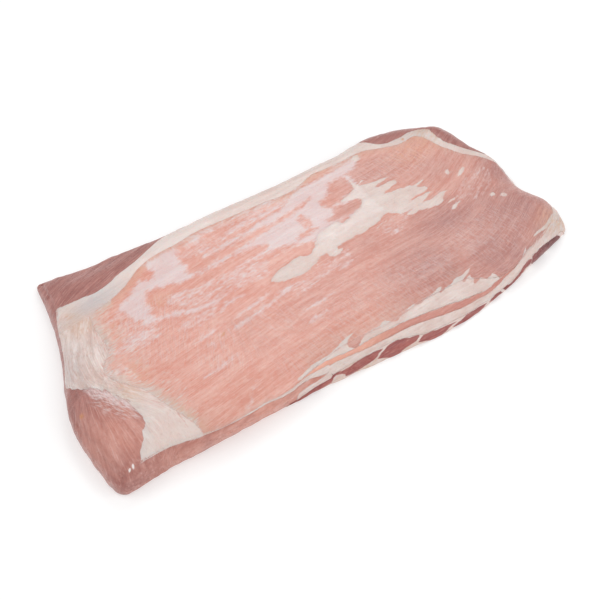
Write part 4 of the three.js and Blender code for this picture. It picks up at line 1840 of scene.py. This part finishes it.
def belly_form() -> SlabForm:
    """The slab's sides, swells and sheets.

    Returns:
        The form.
    """
    sides = {
        Side.NEAR: SideForm(
            bulge=(0, -2.5, 9, 10, 7, 1, 6, 4, 9, 20, 13, 0),
            flare=(2, 4, -4, -2, 5, 19, 21, 31, 26, 7, 4, 8),
            rim=(29, 32, 30, 29, 30, 30, 29, 30, 29, 27, 26, 22),
            slope=(30, 36, 40, 40, 36, 34, 30, 30, 34, 36, 40, 40),
            edge=(9, 8, 6, 4, 3, 2.5, 2.5, 2.5, 2.5, 4, 5, 6),
            crags=0.6,
        ),
        Side.FAR: SideForm(
            bulge=(0, -9.5, -11.5, -13, -9, -5.5, -2.5, 2.5, 8, 18, 15, 0),
            flare=(3,) * 12,
            rim=(15, 20, 24, 26, 27, 27, 27, 27, 27, 26, 24, 23),
            slope=(70, 60, 40, 22, 18, 16, 16, 16, 18, 22, 30, 34),
            edge=(5, 5, 4, 4, 4, 4, 4, 4, 4, 4, 5, 6),
            crags=1.0,
        ),
        Side.LEFT: SideForm(
            bulge=(0, 10.5, 18.5, 15, 5, -1.5, -3, 0),
            flare=(5, 3, 2, 3, 5, 6, 6, 4),
            rim=(27, 27, 26, 26, 26, 25, 20, 15),
            slope=(26, 28, 30, 40, 44, 48, 60, 70),
            edge=(9, 9, 7, 5, 4, 4, 4, 4),
            crags=0.6,
        ),
        Side.RIGHT: SideForm(
            bulge=(0, 8.5, 1, 3, 9, 3, 2.5, 0),
            flare=(8, 4, 4, 4, 3, 3, 3, 3),
            rim=(22, 21, 20, 22, 25, 26, 25, 23),
            slope=(40, 30, 34, 40, 34, 28, 28, 30),
            edge=(6, 6, 6, 5, 5, 6, 6, 6),
            crags=0.7,
        ),
    }
    swells = (
        Swell(Blob(12, 42, 34, 60), 3.0), Swell(Blob(95, 222, 70, 18, -6), 2.0),
        Swell(Blob(536, 186, 20, 34, 20), 2.5), Swell(Blob(372, 128, 92, 30, 10), 2.5),
        Swell(Blob(266, 108, 34, 16, 4), 1.5), Swell(Blob(66, 92, 26, 90, 8), -1.6),
        Swell(Blob(180, 80, 90, 46), -1.5), Swell(Blob(372, -6, 80, 16, -4), 1.2),
    )
    near, far, left, right = Side.NEAR, Side.FAR, Side.LEFT, Side.RIGHT
    sheets = (
        SheetForm(
            layer=Layer.LEAN_TOP, tissue=Tissue.LEAN, slot="pale_lean",
            stops={
                near: (0,) * 21 + (3, 5),
                far: (
                    86, 84, 78, 63, 44, 33, 29, 25, 25, 26, 27, 28,
                    30, 27, 20, 21, 22, 24, 34, 40, 34, 34, 34,
                ),
                left: (88, 86, 80, 76, 70, 49, 40, 47, 41, 34, 34, 40, 44, 50, 56),
                right: (12, 6, 0, 0, 0, 0, 0, 1, 15, 30, 36, 42, 46, 45, 44),
            },
            near=(3, 3, 3, 3, 2, 1.5, 2, 8, 1, 0.7, 0.7, 1, 0.7, 0.7, 1.5, 2, 1, 18, 22, 7, 1, 1, 1),
            far=(13, 13),
            taper=40, rows=6, belly=0.2, fray=1.6,
        ),
        SheetForm(
            layer=Layer.FAT_UPPER, tissue=Tissue.FAT, slot="fat",
            stops={
                far: (150, 140, 130, 122, 124, 140),
                left: (200, 206, 222, 248),
                right: (106, 112, 128, 150),
            },
            near=(1,) * 9 + (7, 21, 16, 13.5, 21, 29, 37, 47, 32, 1, 1, 1, 1, 1),
            far=(5, 5),
            taper=40, rows=14, belly=0.2,
        ),
        SheetForm(
            layer=Layer.LEAN_STRIP, tissue=Tissue.LEAN, slot="cut_lean",
            stops={
                far: (142, 132, 122, 114, 116, 132),
                left: (190, 198, 214, 240),
                right: (90, 98, 116, 140),
            },
            near=(1,) * 8 + (11, 18, 13.5, 19.5, 19.5, 17, 17.5, 19.5, 14.5, 14.5, 14.5, 2.5, 1, 1, 1),
            far=(8, 8),
            taper=40, rows=8, belly=0.45,
        ),
        SheetForm(
            layer=Layer.FAT_MAIN, tissue=Tissue.FAT, slot="fat",
            stops={
                far: (54, 57, 55, 43, 32, 18, 5, 1, -3) + (-4,) * 8 + (-14, 24, 30, 23, 18, 16),
                left: (24, 37, 51, 53, 47, 32, 4, 0, 0, 0, 0, 0, 0, 0, 0),
                right: (0, 0, 0, 0, 0, 0, 0, -2, 0, 12, 22, 30, 31, 27, 16),
            },
            near=(
                5, 5, 5, 5, 1.5, 3, 7, 9, 11, 35, 25.5, 18,
                18.5, 32, 27.5, 21.5, 20.5, 20, 40, 34, 30, 44, 60,
            ),
            far=(18, 18),
            taper=30, rows=10, belly=0.3, fray=2.2,
        ),
        SheetForm(
            layer=Layer.LEAN_MIDDLE, tissue=Tissue.LEAN, slot="brown_lean",
            stops={
                near: (-4, -4, -4, -4, -20, 28, 60, 70, 74, 76, 78, 80),
                right: (80, 72, 56, 30, 8, 0, 0, 0),
            },
            near=(92, 92, 92, 92, 92, 90, 88, 46, 38, 30) + (20,) * 13,
            far=(32, 32, 27, 22, 22, 22, 22, 22, 22, 22, 24, 27),
            taper=46, rows=18, belly=0.6,
        ),
        SheetForm(
            layer=Layer.LEAN_BOTTOM, tissue=Tissue.LEAN, slot="dark_lean",
            stops={
                left: (180, 168, 150, 138, 128, 128),
                right: (5, 1, 0, 0, 0, 0, 0, 0),
            },
            near=(30,) * 7 + (37, 38, 40, 40, 45, 48.5, 29, 22, 18.5, 18, 15, 23, 56, 69, 55, 50),
            far=(24, 24),
            taper=60, rows=14, belly=1.3,
        ),
    )
    return SlabForm(sheets, sides, swells)


def fat_outlines() -> Patches:
    """The fat that lies on the top. The points run round each patch either way.

    Returns:
        The patches.
    """
    blob = Outline((
        (240, 103.5), (238, 107), (243, 111.5), (252, 115.5), (263, 116.5), (275, 119), (284, 118.5),
        (289, 114.5), (295, 114.5), (300, 119), (308, 124), (318, 131), (336, 118), (324, 106),
        (322, 103.5), (327, 101), (320, 97.5), (313, 97.5), (310, 101), (309, 105), (300, 105),
        (292, 101.5), (283, 99), (276, 96.5), (271, 95), (265, 97), (256, 98.5), (249, 99),
    ))
    patch = Outline((
        (306, 124), (318, 133), (334, 136), (345, 136.5), (350, 131.5), (362, 133), (372, 137),
        (381, 139.5), (400, 141), (416, 141.5), (424, 139.5), (436, 138), (446, 137), (451, 134),
        (459, 134.2), (469, 135), (460, 131.5), (453, 130), (457, 127), (462, 125), (463, 121),
        (456, 118.5), (444, 118.8), (433, 118), (431, 116.2), (444, 115.6), (456, 115.8), (466, 113.5),
        (457, 112), (449, 108), (440, 105.8), (430, 105), (420, 105), (411, 107), (405, 111.5),
        (400, 114.5), (393, 114), (385, 111), (376, 109), (362, 107.5), (348, 107.5), (335, 106.5),
        (322, 106),
    ))
    lobe = Outline((
        (381, 138), (386, 144), (388, 149), (386, 153), (380, 155.5), (371, 158), (368, 161), (376, 163),
        (386, 166.5), (393, 168.5), (395, 176), (397, 182), (398, 174), (401, 169.5), (409, 166),
        (418, 163.5), (430, 162), (439, 160.5), (430, 158.5), (420, 158.5), (413, 156), (417, 153.5),
        (428, 154), (437, 153.5), (442, 149.5), (434, 145.5), (425, 144.5), (417, 144), (414, 138),
    ))
    lower = Outline((
        (414, 101.5), (420, 103), (432, 104.5), (440, 104.5), (450, 105), (460, 106), (470, 106.5),
        (479, 105), (472, 103.5), (468, 101), (466, 98), (462, 94.5), (455, 93), (446, 94.5), (438, 96.5),
        (430, 98), (423, 97.5),
    ))
    wisps = tuple(Outline(points) for points in (
        ((463, 89), (470, 92), (480, 91.2), (474, 88.5)),
        ((462, 80), (468, 83.4), (479, 83.6), (472, 80.5), (466, 77.5)),
        ((376, 104), (384, 107.6), (393, 111), (385, 106)),
        ((386, 104.5), (395, 109.4), (389, 105.5)),
        ((400, 171.5), (408, 174.5), (411, 172), (405, 170.5)),
    ))
    specks = (
        Blob(425, 207, 5.5, 4.0, 20), Blob(497, 128, 4.6, 2.8, 50), Blob(511, 119.5, 7, 2.4, 22),
        Blob(516, 70, 3.8, 2.8), Blob(525, 63, 3.0, 2.4),
    )
    return (blob, patch, lobe, lower, *wisps, *specks)


def film_outlines() -> Patches:
    """The film that lies on the top, some of it worn to a mottle.

    Returns:
        The patches.
    """
    left = Outline((
        (88, 166), (92, 170), (99, 173), (107, 177), (114, 181), (121, 186), (127, 190), (130, 188),
        (134, 183), (139, 184), (142, 190), (142, 197), (140, 204), (146, 207), (156, 207.5),
        (168, 208.5), (179, 209), (182, 204), (181, 198), (177, 194), (176, 188), (174, 183), (178, 179),
        (177, 173), (173, 168), (178, 164), (190, 163), (206, 165.5), (225, 165.5), (225, 160),
        (206, 159.5), (186, 158.5), (170, 160), (158, 161), (148, 166), (141, 165), (136, 169),
        (126, 170), (121, 166), (118, 160), (117, 154), (118, 150), (121, 148), (117, 146), (113, 143),
        (114, 139), (119, 135), (124, 133), (117, 129), (108, 130), (101, 131), (98, 134), (101, 137),
        (99, 141), (95, 145), (92, 152), (93, 157), (89, 161),
    ))
    line = Outline((
        (116, 130), (124, 133.5), (134, 131), (142, 128), (150, 125), (158, 121.8), (170, 122.2),
        (177, 121.5), (190, 119), (178, 116.5), (165, 115.5), (152, 116), (146, 119), (138, 123),
        (130, 127.5),
    ))
    middle = Outline((
        (222, 181.5), (240, 182.5), (255, 184), (270, 186.5), (290, 188.5), (308, 190.5), (318, 194),
        (322, 199), (334, 204), (355, 206.5), (385, 207), (405, 208), (420, 211), (431, 211), (429, 204),
        (422, 199), (412, 194), (400, 193), (402, 180), (400, 168), (400, 120), (335, 118), (314, 124),
        (302, 131), (288, 134.5), (270, 133.8), (250, 134), (262, 135.8), (278, 135.5), (288, 138),
        (275, 140.5), (262, 141.5), (248, 143), (232, 143.5), (214, 143), (218, 145.5), (232, 147),
        (246, 148.5), (258, 149.5), (264, 151.5), (257, 155.5), (246, 158.5), (225, 159), (225, 165),
        (245, 167.5), (262, 171), (276, 172.5), (285, 175.5), (272, 178.5), (255, 178), (240, 176.5),
        (230, 175.5), (220, 177),
    ))
    crisp = tuple(Outline(points) for points in (
        ((184, 202), (195, 206.5), (215, 208.5), (234, 209), (228, 206), (215, 204), (200, 202)),
        ((193, 184.6), (200, 187.6), (210, 187.8), (213, 186), (203, 184)),
        ((197, 178), (202, 181.4), (210, 179.4), (219, 179.5), (214, 176.2), (206, 175)),
        ((133, 141), (136, 147), (143, 151.5), (150, 150.5), (159, 149.8), (167, 146), (156, 146),
         (150, 143.5), (142, 142.5)),
        ((126, 83), (136, 84.5), (144, 87.5), (158, 89), (150, 85), (140, 82.5)),
        ((138, 73), (144, 76), (150, 74), (145, 71.5)),
        ((176, 108), (186, 111.5), (199, 111), (208, 108), (196, 107), (184, 106.5)),
        ((180, 89), (196, 93), (214, 96), (230, 97), (216, 92), (198, 89)),
        ((228, 84), (238, 91), (252, 92), (268, 91), (256, 87), (240, 84)),
        ((160, 78), (185, 81), (215, 85), (245, 88), (225, 82), (190, 77)),
        ((250, 77), (264, 79.5), (281, 80), (268, 76.8)),
        ((236, 54), (258, 57), (284, 58), (262, 53.5)),
        ((238, 39), (250, 42), (262, 42), (250, 38)),
        ((116, 43), (138, 47), (162, 49), (140, 44)),
        ((308, 79), (318, 83), (326, 82), (316, 79)),
        ((388, 86), (391, 92), (396, 91), (393, 86)),
    ))
    thread = Blob(140, -3, 7, 1.0, 40)
    worn = (
        Outline(((234, 190.5), (238, 197), (262, 198), (290, 198), (322, 200), (318, 194), (296, 191.5),
                 (262, 190.5)), 1.0),
        Outline(((60, 118), (56, 128), (62, 140), (58, 150), (62, 166), (76, 170), (88, 164), (92, 148),
                 (98, 134), (106, 128), (112, 118), (100, 112), (80, 110)), -0.6),
        Outline(((74, 118), (78, 129), (92, 130), (104, 122), (102, 113), (88, 112)), 0.6),
        Outline(((43, 100), (46, 90), (47, 72), (56, 60), (64, 74), (62, 92), (58, 104)), -0.3),
        Outline(((140, 140), (180, 146), (236, 141), (250, 132), (240, 117), (192, 120), (150, 128)), 0.1),
        Outline(((126, 108), (150, 114), (176, 112), (176, 104), (150, 102)), -0.6),
        Outline(((150, 208), (200, 211), (300, 212), (360, 213), (420, 215), (418, 209), (340, 206),
                 (318, 200), (250, 200), (236, 203), (190, 208)), 0.2),
        Outline(((250, 84), (262, 94), (300, 96), (330, 96), (326, 88), (290, 82)), -0.8),
        Outline(((380, 96), (384, 104), (410, 106), (414, 98), (400, 90), (386, 88)), -1.2),
        Outline(((474, 86), (500, 104), (520, 112), (540, 108), (528, 88), (500, 76)), -1.2),
        Outline(((178, 190), (184, 201), (230, 202), (234, 190), (214, 182)), -0.4),
    )
    return (left, line, middle, *crisp, thread, *worn)


def bare_outlines() -> Patches:
    """The windows of bare lean in the film.

    Returns:
        The windows.
    """
    return (
        Outline(((127, 187), (129, 193), (132, 199), (139, 199), (142, 192), (139, 187), (133, 185))),
        Outline(((347, 166), (348, 172), (357, 175.5), (363, 178), (368, 182), (371, 187), (375, 191),
                 (382, 192.3), (392, 192), (396, 189), (394, 184), (396, 178), (396, 171), (391, 167),
                 (380, 165), (372, 162.5), (366, 160.5), (360, 161.5), (355, 158), (351, 161))),
        Outline(((338, 144.5), (345, 146), (351, 147), (353, 152), (359, 157), (364, 157.5), (368, 154),
                 (376, 153), (383, 154), (388, 151), (387, 146), (383, 142), (378, 138.5), (368, 137.5),
                 (358, 138), (350, 141), (342, 142.5))),
        Outline(((346, 135), (352, 137.3), (359, 136), (361, 133.5), (355, 131.5), (348, 132))),
        Outline(((334, 126), (341, 128), (346, 125.5), (342, 122.5), (336, 122.5))),
        Outline(((312, 150), (313, 165), (319, 170), (323, 158), (320, 150)), 0.5),
        Outline(((296, 141), (304, 145), (316, 146), (322, 143), (310, 141)), 1.0),
        Outline(((284, 174), (300, 178), (320, 181), (344, 185), (330, 179), (304, 175)), 0.6),
        Outline(((350, 206), (356, 219), (388, 220), (396, 210), (372, 206)), 2.0),
    )


def near_fat_outlines() -> Patches:
    """The fat along the near rim, as it lies in the sight's plane.

    Returns:
        The patches.
    """
    left = Outline((
        (192, -3), (204, 0.5), (211, 2), (215, 3.6), (228, 4), (238, 4), (246, 6), (252, 8), (258, 10),
        (264, 11.6), (280, 13), (270, 10.5), (264, 8), (260, 4), (259, 0), (262, -3.5), (266, -6.6),
        (262, -12), (250, -12), (230, -12), (210, -12),
    ))
    middle = Outline((
        (266, -6.6), (270, -3.5), (274, -0.6), (278, 1), (282, 3), (288, 4.6), (296, 4), (302, 4),
        (308, 6), (311, 5.4), (313, 3), (316, 0.5), (320, -2), (324, -0.5), (329, 1.5), (335, 3.6),
        (341, 5), (346, 6), (350, 5.4), (352, 3), (355, 2), (360, 3.5), (366, 5), (372, 5.2), (378, 7),
        (385, 8.4), (388, 7), (384, 4.6), (379, 2.2), (381, 0.8), (386, 2), (392, 3.5), (398, 4),
        (401, 5), (405, 7.5), (410, 8), (416, 7.2), (422, 9), (431, 10.6), (427, 7.6), (421, 5), (415, 3),
        (410, -0.6), (413, -1.6), (418, 1), (425, 3.8), (422, 0), (424, -3), (421, -6), (418, -10),
        (421, -10.4), (427, -8.6), (430, -7), (433, -9.5), (434, -13), (437, -12), (441, -11),
        (444.5, -9.6), (446.5, -13), (446, -18), (440, -30), (300, -30), (268, -14),
    ))
    right = Outline((
        (470, -18), (476, -16.8), (482, -14), (490, -10.5), (497, -7.5), (503, -5.5), (510, -4.5),
        (518, -2.5), (526, -1), (531, 1.5), (538, 3), (548, 4), (536, 5.4), (524, 4.8), (518, 4.2),
        (521, 6), (527, 8), (535, 9), (541, 10), (548, 13), (555, 16), (561, 18), (568, 21), (590, 26),
        (590, -40), (470, -40),
    ))
    streak = Outline(((487, -11.6), (494, -6.6), (504, 0.6), (497, -6)))
    return (left, middle, right, streak)


def near_lean_outlines() -> dict[Layer, Patches]:
    """The only lean of a sheet's near side, as it lies in the sight's plane.

    Returns:
        The patches of each sheet that has such lean.
    """
    tongue = Outline((
        (-120, 60), (90, 20), (112, -7), (125, -8.2), (140, -9), (160, -9.4), (175, -10), (185, -10.2),
        (195, -9.6), (205, -9.2), (215, -9.6), (222, -11), (225.5, -12.5), (222, -14), (215, -15),
        (205, -15.6), (195, -16), (187, -17), (183, -18.3), (181, -21), (170, -26), (-120, -60),
    ))
    lumps = tuple(Outline(points) for points in (
        ((170, -20.5), (182, -20.5), (190, -20), (200, -19.3), (206, -18.4), (213, -17.4), (222, -17),
         (229, -17.5), (236, -19.5), (245, -20), (253, -19), (260, -19), (264, -18), (268, -17.4),
         (272, -18), (277, -19.8), (287, -20.6), (283, -22.5), (278, -24), (275, -26), (270, -27.4),
         (262, -28), (250, -28), (243, -28.4), (238, -28), (234, -27), (236, -25), (233, -22),
         (228, -20.6), (224, -21.5), (222, -23), (219, -25.2), (210, -25), (200, -25), (170, -25)),
        ((277, -26.5), (283, -24.5), (288, -22.5), (292, -21.3), (298, -20.8), (304, -21), (309, -22),
         (314, -25), (320, -27), (327.5, -29), (325, -31), (320, -33), (312, -34), (303, -34),
         (296, -36), (290, -36), (284, -34), (279, -31), (274, -28.4)),
        ((320, -35.5), (325, -33.5), (330, -31.4), (336, -31.2), (340, -31), (343, -33.5), (347, -35),
         (354, -35), (360, -36), (371, -37.5), (364, -38.5), (357, -39.5), (352, -41), (345, -42),
         (337, -42), (332, -41), (327, -38.8), (322, -37)),
        ((361, -40.6), (370, -39.5), (378, -38.4), (383, -37), (388, -37), (394, -36.8), (400, -36.3),
         (413, -36.8), (408, -39), (400, -41), (393, -43), (385, -44), (378, -44), (370, -43),
         (363, -42)),
        ((414, -38), (420, -35.4), (428, -33.4), (434.5, -33.2), (435, -35.4), (428, -37), (420, -38.5)),
        ((438.5, -33), (441, -30.8), (445, -30.8), (449, -31.8), (456, -30.2), (462, -28), (470, -25.8),
         (474, -23.3), (478, -21.3), (484, -19.3), (490, -18), (494, -18.4), (491, -21), (486, -24),
         (478, -25), (474, -27), (462, -31), (447, -35), (440, -35.5)),
        ((487, -23.4), (492, -21), (496, -17), (499, -15.4), (505, -14.4), (511, -12.6), (518, -10.6),
         (525, -9.6), (532, -8.6), (541, -8.3), (543, -11.5), (541, -14.5), (535, -15.5), (527, -17.5),
         (513, -19.5), (500, -23.5), (490, -25)),
    ))
    return {Layer.LEAN_MIDDLE: (tongue,), Layer.LEAN_BOTTOM: lumps}


def belly_surface(form: SlabForm) -> Surface:
    """Where fat and film lie on the top, and the windows of bare lean among them."""
    return Surface(form, fat_outlines(), film_outlines(), bare_outlines())


def belly_marks(surface: Surface) -> Marks:
    """Where marks lie on the near side, and where the colours of each sheet change.

    Args:
        surface: the slab's surface.

    Returns:
        The marks.
    """
    cool_fat = (
        Blob(78, 192, 50, 22, 10), Blob(14, 130, 26, 60, -14, 0.6), Blob(556, 4, 50, 34, 0, 0.7),
        Blob(520, 196, 60, 30, 0, 0.8),
    )
    return Marks(
        surface,
        near_fat_outlines(),
        near_lean_outlines(),
        tones={
            Layer.LEAN_TOP: (
                Blob(530, 40, 170, 120), Blob(470, 0, 120, 90), Blob(450, 70, 110, 60),
                Blob(390, 30, 110, 90, 0, 0.85), Blob(556, 95, 70, 80), Blob(435, 176, 130, 56, 0, 0.5),
                Blob(490, 140, 90, 60, 0, 0.5), Blob(360, 90, 110, 50, 0, 0.45),
                Blob(370, 147, 50, 25, 0, 0.4), Blob(300, 60, 120, 60, 0, 0.3),
            ),
            Layer.LEAN_STRIP: (Blob(235, -6, 110, 50),),
            Layer.FAT_MAIN: cool_fat,
            Layer.LEAN_MIDDLE: (
                Blob(205, -14, 70, 30), Blob(150, -12, 150, 30), Blob(60, -14, 80, 26, 0, 0.8),
                Blob(18, 36, 56, 70, 0, 0.75), Blob(-6, -18, 20, 15),
            ),
            Layer.LEAN_BOTTOM: (Blob(535, -5, 70, 40), Blob(455, -18, 40, 20, 0, 0.6)),
        },
        peach={
            Layer.LEAN_TOP: (
                Blob(490, 182, 60, 34), Blob(372, 212, 50, 12), Blob(62, 86, 26, 30),
                Blob(130, 152, 26, 16), Blob(70, 150, 26, 34), Blob(540, 196, 20, 20),
                Blob(556, 8, 44, 30),
            ),
            Layer.FAT_MAIN: (
                Blob(50, 172, 30, 22, -20), Blob(46, 190, 16, 8, -40), Blob(556, 6, 44, 30),
                Blob(50, 72, 22, 26), Blob(520, 194, 44, 30),
            ),
            Layer.LEAN_MIDDLE: (Blob(500, 200, 90, 50),),
            Layer.LEAN_BOTTOM: (Blob(258, -22, 50, 20), Blob(310, -32, 40, 16)),
        },
        border_peach=(
            Blob(110, 198, 150, 40, 14), Blob(330, 212, 260, 34), Blob(75, 10, 34, 80),
            Blob(500, 190, 110, 50),
        ),
        soft_borders=(Blob(62, 120, 60, 120, 6), Blob(77, 48, 50, 84), Blob(66, 172, 40, 30)),
        spots=(
            Blob(-1, 74, 5, 3.5, 70), Blob(492, 203, 3.5, 3), Blob(160, 78, 6, 2, 30),
        ),
        # Two small white spots of painted highlight at the near-left corner that stand in for wet glints.
        painted_glints=(Blob(8.2, -1.4, 2.4, 1.3, 20), Blob(12.4, -0.6, 2.8, 1.8, 60)),
        frays={
            Layer.FAT_MAIN: (Blob(150, 214, 95, 12, 8), Blob(8, 212, 40, 10, 24)),
            Layer.LEAN_MIDDLE: (
                Outline(((14, 100), (22, 98), (32, 88), (42, 72), (52, 52), (58, 34), (50, 36),
                         (42, 50), (32, 62), (24, 76), (16, 88)), 0.9),
            ),
        },
    )


def belly_finishes() -> dict[Layer, MeatFinish]:
    """The finish of each sheet.

    Returns:
        The finishes. Both sheets of fat have the same.
    """
    pale = MeatFinish(
        name="pale_lean",
        lean_deep=srgb(217, 149, 133), lean_pale=srgb(230, 181, 168),
        lean_tone=srgb(172, 121, 116), tone_pale=srgb(196, 148, 141),
    )
    fat = MeatFinish(
        name="soft_fat",
        lean_deep=srgb(198, 140, 128), lean_pale=srgb(214, 166, 154),
        lean_tone=srgb(186, 138, 131), tone_pale=srgb(204, 160, 150),
    )
    strip = MeatFinish(
        name="cut_lean",
        lean_deep=srgb(194, 126, 114), lean_pale=srgb(208, 147, 134),
        lean_tone=srgb(236, 171, 150), tone_pale=srgb(244, 193, 171),
    )
    brown = MeatFinish(
        name="brown_lean",
        lean_deep=srgb(154, 100, 94), lean_pale=srgb(184, 130, 122),
        lean_tone=srgb(205, 138, 122), tone_pale=srgb(222, 164, 148),
        lean_peach=srgb(166, 102, 95),
        painted_fibre_highlight=srgb(212, 172, 165),
        fibre=Pattern((26.0, 1.2, 5.0)),
        # The front muscle's painted highlights along its fibres have their own colour and twice the share.
        streak=Pattern((48.0, 3.6, 9.0), 3.0, 0.55),
        painted_fibre_highlight_rise=Rise(0.54, 0.74, 0.4),
        ridge_share=0.7,
    )
    dark = MeatFinish(
        name="dark_lean",
        lean_deep=srgb(148, 78, 76), lean_pale=srgb(176, 104, 96),
        lean_tone=srgb(86, 34, 37), tone_pale=srgb(116, 54, 55),
    )
    return {
        Layer.LEAN_TOP: pale,
        Layer.FAT_UPPER: fat,
        Layer.LEAN_STRIP: strip,
        Layer.FAT_MAIN: fat,
        Layer.LEAN_MIDDLE: brown,
        Layer.LEAN_BOTTOM: dark,
    }


def main() -> None:
    """Build the slab and its studio, and report each piece."""
    logging.basicConfig(level=logging.INFO, format="%(name)s: %(message)s")
    surface = belly_surface(belly_form())
    slab = Slab(surface, belly_marks(surface), belly_finishes())
    pieces = slab.build()
    Studio().build()
    LOG.info("%d pieces, %d triangles", len(pieces), sum(len(one.data.polygons) for one in pieces))


if __name__ == "__main__":
    main()
